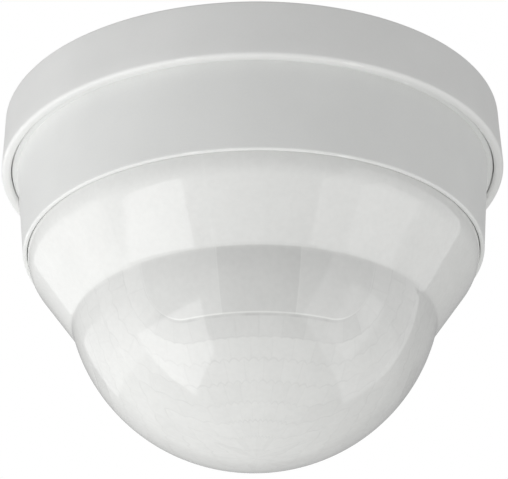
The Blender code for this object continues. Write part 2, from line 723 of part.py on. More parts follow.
def make_head_screws():
    """Long screws from below the inner cover, through both boards, into the chassis posts."""
    seat = INNER_COVER_Z[0] - GAP
    length = HEAD_SCREW_TIP - seat
    profile = [
        (0.0, length),
        (HEAD_SCREW_POINT_R, length),
        (HEAD_SCREW_R, length - MM),
        (HEAD_SCREW_R, 0.0),
        (SCREW_HEAD_R, 0.0),
        *arc((SCREW_HEAD_R - EDGE, EDGE - SCREW_HEAD), (EDGE, EDGE), 0, -90, 3),
        (0.0, -SCREW_HEAD),
    ]
    pieces = []
    for number, at in enumerate(post_centres(), 1):
        screw = turned(f"head_screw_{number}", profile, SMALL_STEPS, (*at, seat))
        place = (*at, seat - SCREW_HEAD)
        for turn in (0, 90):
            cut(screw, block(f"{screw.name}_recess_{turn}", SCREW_RECESS, (0.0, 0.0, 0.0), place, turn))
        pieces.append(finished(screw, "zinc"))
    return pieces


def make_dials():
    """Two setting dials and the rotary bodies they turn in; each dial's origin is on its axis."""
    pieces = []
    board_face = SENSOR_BOARD_TOP - BOARD - GAP
    for name, side, finish in (("lux", -1, "control_blue"), ("time", 1, "control_orange")):
        at = (side * DIAL_X, CONTROL_Y)
        height = board_face - POT_FOOT
        size = (POT_SIZE, POT_SIZE, height)
        body = block(f"{name}_dial_body", size, (0.0, 0.0, height / 2), (*at, POT_FOOT))
        bore_top = POT_FOOT + SPINDLE + STEP
        bore = rods(f"{name}_spindle_hole", SPINDLE_R + GAP, POT_FOOT - MM, bore_top, [at])
        pieces.append(finished(cut(body, bore), "relay_black"))
        pieces.append(finished(make_dial(f"{name}_dial", at), finish))
    return pieces


def make_dial(name, at):
    """A notched wheel with a spindle above it and a pointer slot in its lower face."""
    low, high = DIAL_Z
    turn = 180 / DIAL_NOTCHES
    outline = [on_circle(DIAL_R - (i % 2) * DIAL_NOTCH, i * turn) for i in range(2 * DIAL_NOTCHES)]
    wheel = slab(name, [outline], low - high, 0.0, (*at, high))
    spindle = rods(f"{name}_spindle", SPINDLE_R, high - MM, high + SPINDLE, [at])
    pointer = block(f"{name}_pointer", POINTER, (at[0], at[1] - POINTER_OFFSET, low))
    return cut(joined(wheel, spindle), pointer)


def make_button():
    board_face = SENSOR_BOARD_TOP - BOARD - GAP
    height = board_face - SWITCH_FOOT
    centre = (0.0, 0.0, height / 2)
    switch = block("test_switch_body", (SWITCH_SIZE, SWITCH_SIZE, height), centre, (*BUTTON_AT, SWITCH_FOOT))
    hole_top = SWITCH_FOOT + BUTTON_STEM
    cut(switch, rods("plunger_hole", BUTTON_STEM_R + GAP + STEP, SWITCH_FOOT - MM, hole_top, [BUTTON_AT]))
    profile = [
        (0.0, BUTTON_STEM),
        (BUTTON_STEM_R, BUTTON_STEM),
        (BUTTON_STEM_R, 0.0),
        (BUTTON_CAP_R, 0.0),
        *arc((BUTTON_CAP_R - EDGE, EDGE - BUTTON_CAP), (EDGE, EDGE), 0, -90, 3),
        (0.0, -BUTTON_CAP),
    ]
    button = turned("test_button", profile, SMALL_STEPS, (*BUTTON_AT, BUTTON_Z))
    return [finished(switch, "relay_black"), finished(button, "led_red")]


def make_status_led():
    top = SENSOR_BOARD_TOP - BOARD - GAP
    base = (LED_R + GAP, -3 * GAP)
    dome = arc((0.0, LED_R - LED_LENGTH), (LED_R, LED_R), 0, -90, 4)[:-1]
    profile = [(0.0, 0.0), (base[0], 0.0), base, (LED_R, base[1]), *dome, (0.0, -LED_LENGTH)]
    return finished(turned("status_led", profile, SMALL_STEPS, (*LED_AT, top)), "led_red")


# The turret and its heat sensors


def turret_face(angle):
    """The middle of a slanted face of the turret, and the way that face looks."""
    run = TURRET_HALF - TURRET_END_HALF
    drop = TURRET_SHOULDER - TURRET_END
    x, y = on_circle((TURRET_HALF + TURRET_END_HALF) / 2, angle)
    middle = Vector((x, y, (TURRET_SHOULDER + TURRET_END) / 2))
    out = Vector((*on_circle(drop, angle), -run)).normalized()
    return middle, out


def make_turret():
    """A four-sided tapered block with a round seat for a sensor on each slanted face."""
    shape = bmesh.new()
    middle = Matrix.Translation((0.0, 0.0, (TURRET_SHOULDER + TURRET_END) / 2))
    bmesh.ops.create_cone(
        shape,
        cap_ends=True,
        segments=4,
        radius1=TURRET_END_HALF * math.sqrt(2),
        radius2=TURRET_HALF * math.sqrt(2),
        depth=TURRET_SHOULDER - TURRET_END,
        matrix=middle @ Matrix.Rotation(math.radians(45), 4, "Z"),
    )
    upper = [face for face in shape.faces if face.normal.z > 0.9]
    raised = bmesh.ops.extrude_face_region(shape, geom=upper)["geom"]
    bmesh.ops.delete(shape, geom=upper, context="FACES_ONLY")
    corners = [item for item in raised if isinstance(item, bmesh.types.BMVert)]
    bmesh.ops.translate(shape, verts=corners, vec=(0.0, 0.0, TURRET_TOP - TURRET_SHOULDER))
    mesh = bpy.data.meshes.new("sensor_turret")
    shape.to_mesh(mesh)
    shape.free()
    turret = rounded(placed("sensor_turret", mesh), TURRET_ROUND)
    for number, angle in enumerate(SENSOR_ANGLES, 1):
        middle, out = turret_face(angle)
        seat = rods(f"sensor_seat_{number}", CAN_SEAT_R, -CAN_SEAT, CAN_H, [(0.0, 0.0)], SMALL_STEPS)
        seat.rotation_euler = out.to_track_quat("Z", "Y").to_euler()
        seat.location = middle
        cut(turret, seat)
    return finished(turret, "relay_black")


def make_heat_sensors():
    """A metal can with an oblong window on each slanted face of the turret."""
    profile = [
        (0.0, CAN_H),
        *arc((CAN_R - CAN_ROUND, CAN_H - CAN_ROUND), (CAN_ROUND, CAN_ROUND), 90, 0, 3),
        (CAN_R, CAN_FLANGE),
        (CAN_FLANGE_R, CAN_FLANGE),
        (CAN_FLANGE_R, 0.0),
        (0.0, 0.0),
    ]
    pieces = []
    for number, angle in enumerate(SENSOR_ANGLES, 1):
        middle, out = turret_face(angle)
        seat = middle - out * (CAN_SEAT - GAP)
        facing = out.to_track_quat("Z", "Y").to_euler()
        can = turned(f"heat_sensor_{number}", profile, SMALL_STEPS, seat)
        can.rotation_euler = facing
        width, height, depth = CAN_WINDOW
        pocket_size = (width + 2 * GAP, height + 2 * GAP, 2 * (depth + GAP))
        pocket = block(f"window_pocket_{number}", pocket_size, (0.0, 0.0, CAN_H), seat)
        pocket.rotation_euler = facing
        window = block(f"heat_window_{number}", CAN_WINDOW, (0.0, 0.0, CAN_H - depth / 2), seat)
        window.rotation_euler = facing
        pieces.append(finished(cut(can, pocket), "can_steel"))
        pieces.append(finished(window, "window_dark"))
    return pieces


def make_light_sensor():
    """A clear dome on a round base, under the end of the turret."""
    radius, base, dome = LIGHT_SENSOR_R, LIGHT_SENSOR_BASE, LIGHT_SENSOR_DOME
    curve = arc((0.0, -base), (radius - 2 * STEP, dome), 0, -90, 5)[:-1]
    profile = [(0.0, 0.0), (radius, 0.0), (radius, -base), *curve, (0.0, -base - dome)]
    sensor = turned("light_sensor", profile, SMALL_STEPS, (0.0, 0.0, TURRET_END - GAP))
    return finished(sensor, "sensor_clear")


# The cover: ring and lens


def make_ring():
    ring = turned("cover_ring", ring_profile())
    catch_r = (CATCH_R, (RING_INNER_R + RING_WAIST[0]) / 2)
    catches = [sector(*catch_r, at - CATCH_HALF_ANGLE, at + CATCH_HALF_ANGLE) for at in TONGUE_ANGLES]
    joined(ring, slab("cover_catches", catches, *CATCH_Z))
    notch_r = (SHELF_R - MM, RING_LIP_INNER_R - GAP)
    notches = [(at, HOOK_HALF_ANGLE + 1.0) for at in LENS_HOOK_ANGLES] + [(0.0, KEY_NOTCH_HALF_ANGLE)]
    outlines = [sector(*notch_r, at - half, at + half) for at, half in notches]
    cut(ring, slab("shelf_notches", outlines, SHELF_Z[0] - MM, SHELF_Z[1] + MM))
    return finished(ring, "ring_white")


def ring_profile():
    """Down the outside from the top edge, round the lip, and up to the shelf that the lens hooks over."""
    flange_low, flange_high = RING_FLANGE_Z
    bend = RING_FLANGE_ROUND
    top_edge = 2 * bend
    lip = RING_LIP_ROUND
    inner_lip = lip / 2
    return [
        (RING_INNER_R, RING_TOP),
        (RING_WALL_R - top_edge, RING_TOP),
        (RING_WALL_R, RING_TOP - top_edge),
        (RING_WALL_R, flange_high),
        *arc((RING_FLANGE_R - bend, flange_high - bend), (bend, bend), 90, 0, 2),
        *arc((RING_FLANGE_R - bend, flange_low + bend), (bend, bend), 0, -90, 2),
        (RING_WALL_R, flange_low),
        RING_WAIST,
        *arc((RING_FOOT_R - lip, RING_LIP_Z + lip), (lip, lip), 0, -90, 4),
        *arc((RING_LIP_INNER_R + inner_lip, RING_LIP_Z + inner_lip), (inner_lip, inner_lip), -90, -180, 3),
        (RING_LIP_INNER_R, SHELF_Z[0]),
        (SHELF_R, SHELF_Z[0]),
        (SHELF_R, SHELF_Z[1]),
        (RING_INNER_R, SHELF_Z[1]),
    ]


def lens_surface(inset):
    """The lens from its collar to its tip, as (r, z), at a distance inside its outer face."""
    bend = LENS_SHOULDER_ROUND - inset
    centre = (LENS_COLLAR_R - LENS_SHOULDER_ROUND, LENS_SHOULDER_Z)
    shoulder = arc(centre, (bend, bend), 0, LENS_CONE_ANGLE - 90, ARC_STEPS)
    radii = (DOME_R - inset, DOME_DEPTH - inset)
    r, z = shoulder[-1]
    run = 1 / math.tan(math.radians(LENS_CONE_ANGLE))
    level = r + (DOME_CENTRE_Z - z) * run  # the cone's radius at the height of the dome's middle
    a = (run / radii[0]) ** 2 + 1 / radii[1] ** 2
    b = 2 * level * run / radii[0] ** 2
    c = (level / radii[0]) ** 2 - 1
    crease = (math.sqrt(b * b - 4 * a * c) - b) / (2 * a)  # where the cone runs into the dome
    angle = math.degrees(math.asin(crease / radii[1]))
    dome = arc((0.0, DOME_CENTRE_Z), radii, angle, -90, DOME_STEPS)
    return [*shoulder, *dome[:-1], (0.0, DOME_CENTRE_Z - radii[1])]


def make_lens():
    """The domed shell, with hooks on its collar that snap over the ring's shelf."""
    outside = [(LENS_COLLAR_R, LENS_TOP), *lens_surface(0.0)]
    inside = [*reversed(lens_surface(LENS_WALL)), (LENS_COLLAR_R - LENS_WALL, LENS_TOP)]
    lens = shell("fresnel_lens", outside, inside)
    head_low = SHELF_Z[1] + GAP
    head_high = head_low + HOOK_HEAD
    for name, half, low, high in (
        ("lens_hook_stems", HOOK_HALF_ANGLE, LENS_TOP - MM, head_high - HOOK_HEAD / 2),
        ("lens_hook_heads", HOOK_HEAD_HALF_ANGLE, head_low, head_high),
    ):
        outlines = [sector(*HOOK_BAND, at - half, at + half) for at in LENS_HOOK_ANGLES]
        joined(lens, slab(name, outlines, low, high))
    return finished(lens, "lens_milk")


def shell(name, outside, inside):
    """A domed shell, from a profile down its outer face to the axis and one back up its inner face."""
    piece = turned(name, [*outside, *inside])
    shape = bmesh.new()
    shape.from_mesh(piece.data)
    shape.verts.ensure_lookup_table()
    tips = (shape.verts[len(outside) - 1], shape.verts[len(outside)])
    shape.edges.remove(shape.edges.get(tips))
    shape.edges.new((shape.verts[-1], shape.verts[0]))
    shape.to_mesh(piece.data)
    shape.free()
    return piece


def hang(pieces, name, location=(0.0, 0.0, 0.0)):
    """An empty that carries these pieces as one moving body."""
    holder = bpy.data.objects.new(name, None)
    holder.location = location
    PARTS.objects.link(holder)
    for piece in pieces:
        piece.parent = holder
        piece.matrix_parent_inverse = Matrix.Translation(location).inverted()
    return holder


PARTS, CUTTERS = start()
make_box()
make_gasket()
make_grommet()
head = [make_chassis(), *make_terminals(), *make_boards(), *make_spacers(), *make_power_parts()]
head += [make_inner_cover(), *make_head_screws(), *make_dials(), *make_button(), make_status_led()]
head += [make_turret(), *make_heat_sensors(), make_light_sensor()]
head_axis = hang(head, "head_axis")
cover_axis = hang([make_ring(), make_lens()], "cover_axis")
cover_axis.parent = head_axis
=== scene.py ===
"""The looks of a ceiling motion sensor: a shallow back box, a detector head that twist-locks into it, and a
pull-off cover of a plain ring and a milky, many-faceted lens, seen from below as it hangs."""

import math

import bmesh
import bpy
from mathutils import Matrix, Vector


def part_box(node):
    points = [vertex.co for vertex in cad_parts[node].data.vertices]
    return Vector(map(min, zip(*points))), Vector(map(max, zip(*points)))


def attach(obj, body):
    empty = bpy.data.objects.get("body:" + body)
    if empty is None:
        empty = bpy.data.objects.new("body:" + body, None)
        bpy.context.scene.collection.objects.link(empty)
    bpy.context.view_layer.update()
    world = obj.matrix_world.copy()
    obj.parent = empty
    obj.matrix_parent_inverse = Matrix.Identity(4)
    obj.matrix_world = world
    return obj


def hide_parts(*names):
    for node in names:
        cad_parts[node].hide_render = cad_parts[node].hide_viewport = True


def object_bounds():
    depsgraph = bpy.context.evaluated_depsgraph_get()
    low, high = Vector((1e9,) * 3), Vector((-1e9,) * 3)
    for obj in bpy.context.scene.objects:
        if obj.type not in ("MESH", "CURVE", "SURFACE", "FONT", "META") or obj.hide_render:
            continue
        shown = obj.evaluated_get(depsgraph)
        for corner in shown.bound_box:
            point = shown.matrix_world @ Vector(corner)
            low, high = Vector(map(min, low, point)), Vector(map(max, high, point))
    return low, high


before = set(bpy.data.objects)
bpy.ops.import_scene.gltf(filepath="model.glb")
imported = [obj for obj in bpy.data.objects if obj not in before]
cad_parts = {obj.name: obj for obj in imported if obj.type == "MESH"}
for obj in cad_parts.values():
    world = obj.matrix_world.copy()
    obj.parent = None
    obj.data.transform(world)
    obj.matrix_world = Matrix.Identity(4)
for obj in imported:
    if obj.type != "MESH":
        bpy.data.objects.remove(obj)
cad_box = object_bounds()

MM = 0.001


def mm(*sizes):
    return tuple(size * MM for size in sizes)


GAP = 0.3 * MM  # between pieces that touch
STEP = 0.1 * MM
FINE = 252  # steps round a wide turned piece
MEDIUM = 96
SMALL = 48
SHARP = math.radians(32)


# Outlines


def arc(centre, radii, start_angle, end_angle, steps):
    """Points along a circle, or an ellipse of two radii, between two angles in degrees."""
    wide, tall = radii if isinstance(radii, tuple) else (radii, radii)
    points = []
    for i in range(steps + 1):
        angle = math.radians(start_angle + (end_angle - start_angle) * i / steps)
        points.append((centre[0] + wide * math.cos(angle), centre[1] + tall * math.sin(angle)))
    return points


def straight(start, end, steps):
    """Points from start to just before end."""
    shares = [i / steps for i in range(steps)]
    return [tuple(a + (b - a) * share for a, b in zip(start, end)) for share in shares]


def on_circle(radius, angle):
    return (radius * math.cos(math.radians(angle)), radius * math.sin(math.radians(angle)))


def circle(radius, steps=SMALL, centre=(0.0, 0.0)):
    return arc(centre, radius, 0, 360 - 360 / steps, steps - 1)


def sector(inner, outer, start_angle, end_angle, steps=12):
    """A piece of a flat ring between two angles in degrees."""
    outside = arc((0, 0), outer, start_angle, end_angle, steps)
    return outside + arc((0, 0), inner, end_angle, start_angle, steps)


def stadium(half_width, half_length, centre):
    """A slot along Y with round ends."""
    reach = half_length - half_width
    far = arc((centre[0], centre[1] + reach), half_width, 0, 180, 12)
    return far + arc((centre[0], centre[1] - reach), half_width, 180, 360, 12)


# Meshes


def kept_mesh(shape, name):
    """The mesh of this bmesh, clean and with its faces pointing out."""
    bmesh.ops.remove_doubles(shape, verts=shape.verts, dist=1e-6)
    bmesh.ops.dissolve_degenerate(shape, edges=shape.edges, dist=1e-6)
    loose = [edge for edge in shape.edges if not edge.link_faces]
    bmesh.ops.delete(shape, geom=loose, context="EDGES")
    bmesh.ops.recalc_face_normals(shape, faces=shape.faces)
    mesh = bpy.data.meshes.new(name)
    shape.to_mesh(mesh)
    shape.free()
    return mesh


def placed(name, mesh):
    piece = bpy.data.objects.new(name, mesh)
    bpy.context.scene.collection.objects.link(piece)
    return piece


def turned(name, profile, steps=MEDIUM, centre=(0.0, 0.0)):
    """A round piece: its profile, (r, z) down its outer side, swept round an upright axis."""
    shape = bmesh.new()
    verts = [shape.verts.new((r, 0.0, z)) for r, z in profile]
    edges = [shape.edges.new(pair) for pair in zip(verts, verts[1:])]
    if min(r for r, z in profile) > 0:
        edges.append(shape.edges.new((verts[-1], verts[0])))
    sweep = {"axis": (0, 0, 1), "cent": (0, 0, 0), "angle": 2 * math.pi, "steps": steps}
    bmesh.ops.spin(shape, geom=verts + edges, use_merge=True, **sweep)
    bmesh.ops.translate(shape, verts=shape.verts, vec=(*centre, 0.0))
    return placed(name, kept_mesh(shape, name))


def slab(name, outlines, low, high):
    """A flat piece with these outlines, an inner one being a hole, between two heights."""
    curve = bpy.data.curves.new(name, "CURVE")
    curve.dimensions = "2D"
    curve.fill_mode = "BOTH"
    curve.extrude = (high - low) / 2
    for outline in outlines:
        spline = curve.splines.new("POLY")
        spline.points.add(len(outline) - 1)
        for point, (x, y) in zip(spline.points, outline):
            point.co = (x, y, 0.0, 1.0)
        spline.use_cyclic_u = True
    guide = placed(name, curve)
    shape = bmesh.new()
    shape.from_mesh(evaluated_mesh(guide))
    bpy.data.objects.remove(guide)
    bmesh.ops.translate(shape, verts=shape.verts, vec=(0.0, 0.0, (low + high) / 2))
    return placed(name, kept_mesh(shape, name))


def block(name, size, centre, turn=0.0):
    """A box of this size about a point, turned about the upright axis by an angle in degrees."""
    shape = bmesh.new()
    place = Matrix.Rotation(math.radians(turn), 4, "Z") @ Matrix.Translation(centre)
    bmesh.ops.create_cube(shape, size=1.0, matrix=place @ Matrix.Diagonal((*size, 1.0)))
    return placed(name, kept_mesh(shape, name))


def rods(name, radius, low, high, centres, steps=SMALL):
    """Upright cylinders that stand apart, as one object."""
    return slab(name, [circle(radius, steps, at) for at in centres], low, high)


def evaluated_mesh(piece):
    bpy.context.view_layer.update()
    return bpy.data.meshes.new_from_object(piece.evaluated_get(bpy.context.evaluated_depsgraph_get()))


def settled(piece):
    """The piece with its modifiers worked into its mesh."""
    mesh = evaluated_mesh(piece)
    piece.modifiers.clear()
    piece.data = mesh
    return piece


def shaped(piece, operation, tools):
    """The piece cut by, or joined to, tools that are used up."""
    for tool in tools:
        boolean = piece.modifiers.new(tool.name, "BOOLEAN")
        boolean.operation = operation
        boolean.solver = "EXACT"
        boolean.object = tool
    settled(piece)
    for tool in tools:
        bpy.data.objects.remove(tool)
    return piece


def cut(piece, *tools):
    return shaped(piece, "DIFFERENCE", tools)


def joined(piece, *tools):
    return shaped(piece, "UNION", tools)


def rounded(piece, width, segments=3):
    """The piece with its sharp edges rounded."""
    bevel = piece.modifiers.new("rounded_edges", "BEVEL")
    bevel.width = width
    bevel.segments = segments
    bevel.limit_method = "ANGLE"
    bevel.angle_limit = math.radians(40)
    bevel.harden_normals = False
    return settled(piece)


def moved(piece, matrix):
    piece.data.transform(matrix)
    return piece


def gathered(name, pieces):
    """Several shapes that stand apart, as one object."""
    shape = bmesh.new()
    for piece in pieces:
        shape.from_mesh(piece.data)
        bpy.data.objects.remove(piece)
    return placed(name, kept_mesh(shape, name))


def extent(node):
    """The size and the middle of a node's box, and the heights of its lower and upper sides."""
    low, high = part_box(node)
    return high - low, (low + high) / 2, low.z, high.z


def carried(piece, place):
    """The piece moved by a vector of two or three numbers."""
    return moved(piece, Matrix.Translation((*place, 0.0)[:3]))


# Materials


class Number:
    """A number that nodes work out, which takes part in sums."""

    def __init__(self, finish, socket):
        self.finish, self.socket = finish, socket

    def to(self, operation, *others):
        return self.finish.math(operation, self, *others)

    def __add__(self, other):
        return self.to("ADD", other)

    def __sub__(self, other):
        return self.to("SUBTRACT", other)

    def __rsub__(self, other):
        return self.finish.math("SUBTRACT", other, self)

    def __mul__(self, other):
        return self.to("MULTIPLY", other)

    def __truediv__(self, other):
        return self.to("DIVIDE", other)


class Finish:
    """A material of procedural nodes, with short ways to add them."""

    def __init__(self, name, **plain):
        self.material = bpy.data.materials.new(name)
        self.material.use_nodes = True
        self.tree = self.material.node_tree
        self.surface = self.tree.nodes["Principled BSDF"]
        for socket, value in plain.items():
            self.surface.inputs[socket.replace("_", " ")].default_value = value
        self.place = self.node("TexCoord").outputs["Object"]

    def node(self, kind, settings=None, **inputs):
        made = self.tree.nodes.new("ShaderNode" + kind)
        for name, value in (settings or {}).items():
            setattr(made, name, value)
        for name, value in inputs.items():
            self.feed(made.inputs[name.replace("_", " ")], value)
        return made

    def feed(self, socket, value):
        value = getattr(value, "socket", value)
        if isinstance(value, bpy.types.NodeSocket):
            self.tree.links.new(value, socket)
        else:
            socket.default_value = value

    def math(self, operation, *values, clamp=False):
        made = self.node("Math", {"operation": operation, "use_clamp": clamp})
        for socket, value in zip(made.inputs, values):
            self.feed(socket, value)
        return Number(self, made.outputs[0])

    def chance(self, dimensions, **inputs):
        """Random numbers that change from whole number to whole number, as a node."""
        return self.node("TexWhiteNoise", {"noise_dimensions": dimensions}, **inputs)

    def coordinates(self):
        return [Number(self, way) for way in self.node("SeparateXYZ", Vector=self.place).outputs]

    def noise(self, size, detail=2.0, stretch=None):
        """Smooth noise about 0.5, whose lumps are about this size in metres."""
        place = self.place
        if stretch:
            place = self.node("Mapping", Vector=place, Scale=stretch).outputs[0]
        made = self.node("TexNoise", Vector=place, Scale=1 / size, Detail=detail)
        return Number(self, made.outputs["Fac"])

    def spread(self, value, low, high, from_low=0.3, from_high=0.7):
        """The value's usual range turned into another."""
        names = ("Value", "From Min", "From Max", "To Min", "To Max")
        made = self.node("MapRange")
        for name, number in zip(names, (value, from_low, from_high, low, high)):
            self.feed(made.inputs[name], number)
        return Number(self, made.outputs[0])

    def blend(self, share, first, second):
        """A colour between two others."""
        made = self.node("Mix", {"data_type": "RGBA"})
        self.feed(made.inputs[0], share)
        for socket, colour in ((made.inputs[6], first), (made.inputs[7], second)):
            self.feed(socket, colour if isinstance(colour, bpy.types.NodeSocket) else (*colour, 1.0))
        return made.outputs[2]

    def colour(self, value):
        self.feed(self.surface.inputs["Base Color"], value)

    def roughness(self, value):
        self.feed(self.surface.inputs["Roughness"], value)

    def bump(self, height, depth):
        """Relief this deep, in metres, from a height of 0 to 1."""
        made = self.node("Bump", Strength=1.0, Distance=depth, Height=height)
        self.feed(self.surface.inputs["Normal"], made.outputs["Normal"])

    def edges(self):
        """0 on flats and in hollows, up to 1 along worn outer edges."""
        sharpness = self.node("NewGeometry").outputs["Pointiness"]
        worn = self.spread(sharpness, 0.0, 1.0, 0.52, 0.60)
        return self.math("MULTIPLY", worn, self.spread(self.noise(3 * MM), 0.2, 1.0), clamp=True)


def scaled(colour, share):
    return tuple(channel * share for channel in colour)


def moulded_plastic(name, colour, roughness, grain=0.35 * MM, relief=0.012 * MM, **plain):
    """Spark-textured moulded plastic: a fine grain, slow changes of tone and edges rubbed smooth and pale."""
    finish = Finish(name, **plain)
    clouds = finish.spread(finish.noise(14 * MM, 3.0), 0.0, 1.0)
    specks = finish.noise(grain, 3.0)
    tone = clouds * 0.7 + finish.spread(specks, 0.0, 0.3)
    base = finish.blend(tone, scaled(colour, 0.965), scaled(colour, 1.02))
    worn = finish.edges()
    finish.colour(finish.blend(worn, base, scaled(colour, 1.15)))
    rough = finish.spread(finish.noise(5 * MM, 4.0), roughness - 0.05, roughness + 0.05)
    finish.roughness(rough - worn * 0.12)
    finish.bump(specks, relief)
    return finish.material


def soft_rubber(name, colour):
    """Rubber: dark, dull, with a pale bloom in patches and a pitted skin."""
    finish = Finish(name, Specular_IOR_Level=0.35)
    bloom = finish.spread(finish.noise(6 * MM, 4.0), 0.0, 0.6, 0.45, 0.75)
    finish.colour(finish.blend(bloom, colour, scaled(colour, 2.4)))
    finish.roughness(finish.spread(finish.noise(2 * MM, 3.0), 0.68, 0.88))
    finish.bump(finish.noise(0.25 * MM, 3.0), 0.02 * MM)
    return finish.material


def glossy_plastic(name, colour, roughness, **plain):
    """A dipped or polished coat, with a faint orange peel and smears."""
    finish = Finish(name, **plain)
    cloud = finish.spread(finish.noise(5 * MM, 3.0), 0.0, 1.0)
    finish.colour(finish.blend(cloud, scaled(colour, 0.9), scaled(colour, 1.08)))
    finish.roughness(finish.spread(finish.noise(2 * MM, 4.0), roughness - 0.04, roughness + 0.06))
    finish.bump(finish.noise(0.9 * MM, 2.0), 0.01 * MM)
    return finish.material


def plated_metal(name, colour, roughness, stretch):
    """Plated metal with fine drawing lines across it, dull patches and bright rubbed edges."""
    finish = Finish(name, Metallic=1.0)
    lines = finish.noise(0.4 * MM, 3.0, stretch)
    dull = finish.spread(finish.noise(1.5 * MM, 4.0), 0.0, 1.0)
    base = finish.blend(dull, scaled(colour, 0.82), scaled(colour, 1.05))
    worn = finish.edges()
    finish.colour(finish.blend(worn, base, scaled(colour, 1.18)))
    rough = finish.spread(dull, roughness, roughness + 0.1)
    finish.roughness(finish.spread(lines, -0.06, 0.08) + rough)
    finish.bump(lines, 0.006 * MM)
    return finish.material


TRACK_FIELD = 7.62 * MM  # side of a patch whose tracks all run one way
TRACK_PITCH = 1.27 * MM
PAD_PITCH = 2.54 * MM


def lacquered_board(name):
    """Green lacquer over copper tracks that run both ways, with bare tinned pads here and there."""
    finish = Finish(name, Coat_Weight=0.4, Coat_Roughness=0.12)
    x, y, _ = finish.coordinates()
    coarse = finish.node("VectorMath", {"operation": "SNAP"}, Vector=finish.place)
    coarse.inputs[1].default_value = (TRACK_FIELD, TRACK_FIELD, 1.0)
    chances = finish.chance("3D", Vector=coarse.outputs[0])
    colours = finish.node("SeparateColor", Color=chances.outputs["Color"]).outputs
    red, green = Number(finish, colours[0]), Number(finish, colours[1])
    rows = [(way / TRACK_PITCH).to("PINGPONG", 0.5) for way in (x, y)]
    tracks = [finish.spread(row, 1.0, 0.0, 0.16, 0.2) for row in rows]
    track = finish.blend(red.to("GREATER_THAN", 0.5), (0, 0, 0), (1, 1, 1)).node
    finish.feed(track.inputs[6], tracks[0])
    finish.feed(track.inputs[7], tracks[1])
    copper = Number(finish, track.outputs[2]) * green.to("GREATER_THAN", 0.25)
    across, along = [(way / PAD_PITCH).to("PINGPONG", 0.5).to("POWER", 2.0) for way in (x, y)]
    pads = finish.spread((across + along).to("SQRT"), 1.0, 0.0, 0.17, 0.2)
    tinned = pads * green.to("GREATER_THAN", 0.6)
    cloud = finish.spread(finish.noise(8 * MM, 3.0), 0.0, 1.0)
    lacquer = finish.blend(cloud, (0.020, 0.13, 0.045), (0.028, 0.165, 0.06))
    shown_copper = finish.blend(copper, lacquer, (0.05, 0.27, 0.09))
    finish.colour(finish.blend(tinned, shown_copper, (0.62, 0.62, 0.6)))
    finish.feed(finish.surface.inputs["Metallic"], tinned)
    finish.roughness(finish.spread(finish.noise(1 * MM, 3.0), 0.3, 0.42))
    finish.bump(copper + tinned * 0.5, 0.03 * MM)
    return finish.material


# The lens's facets. Angles round the lens are in degrees from its front, and latitudes in degrees below the
# dome's middle. The dome has equal sectors: three wide panes, and rows of small facets that bend round them.
SECTORS = 3
SECTOR_TURN = 1.6
SECTOR_HALF = 180 / SECTORS
CREASE = 13.0  # the latitude where the cone ends
PANE = 25.7
BEND = (26.1, 20.8)  # where the rows start to bend: half the straight stretch, and its latitude
FIRST_ROW = 12.4  # from there out to the first row
ROW = 7.45
ROW_SHIFT = 0.37  # of a cell, from each row to the next
CELL = 8.7
BEND_CELLS = 4
SCALLOP = 1.1
SCALLOPED = (18.0, 24.0)  # how far out the rows start to be scalloped, and are so in full
CONE_FACETS = 12
CONE_TURN = 18.0


def facet_place(azimuth, latitude):
    """Where a point of the dome lies: across its sector, rows out, and cells along the row."""
    across = (azimuth - SECTOR_TURN + SECTOR_HALF) % (2 * SECTOR_HALF) - SECTOR_HALF
    beyond = max(abs(across) - BEND[0], 0.0)
    down = max(latitude - BEND[1], 0.0)
    above = max(BEND[1] - latitude, 0.0)
    swing = math.atan2(beyond, down) / math.radians(90 / BEND_CELLS) if beyond or down else 0.0
    along = (min(abs(across), BEND[0]) + above) / CELL + swing
    along = math.copysign(along, across)
    reach = math.hypot(beyond, down)
    full = min(max((reach - SCALLOPED[0]) / (SCALLOPED[1] - SCALLOPED[0]), 0.0), 1.0)
    waved = SCALLOP * abs(math.sin(2 * math.pi * along)) * full
    return across, (reach + waved - FIRST_ROW) / ROW, along


def facet_relief(azimuth, latitude):
    """How much a facet swells at this point, from 0 at its edges to 1 at its middle."""
    if latitude < CREASE:
        shares = [(azimuth - CONE_TURN) * CONE_FACETS / 360]
    else:
        across, row, along = facet_place(azimuth, latitude)
        shares = [across / PANE + 0.5] if row < 0 else [row, along + ROW_SHIFT * math.floor(row)]
    swell = 1.0
    for share in shares:
        swell *= abs(math.sin(math.pi * share)) ** 0.5
    return swell


# Tones of the milky plastic, among them painted shade, painted light and a painted highlight, and how much
# its lines differ from them
CONE_TONE = 0.805
SHOULDER_TONE = 0.80
SHOULDER_FADE = (-11.0, -4.0)  # latitudes
# The panes' tone is painted shade: the dark inside as it shows through the clear panes, painted lighter on
# the outer panes of each sector.
PANE_SHADE_TONE = 0.672
SIDE_PANE_LESS_SHADE = 0.055
STRIP_TONE = 0.70  # of the middle of the first row
# The rows' tone holds painted light and shade: lighter on the dome's sides, darker at its tip, set to the
# light that falls on each.
ROW_SHADING_TONES = (0.755, 0.685)  # from the dome's sides to its tip
CELL_SPREAD = 0.014
CONE_SPREAD = 0.006
DARK_LINE = 0.055
PANE_LINE = 0.02
CONE_LINE = 0.015
PANE_EDGE = 2.2  # how much darker the line under the panes is than the others
LENS_TINT = (0.997, 1.003, 0.988)


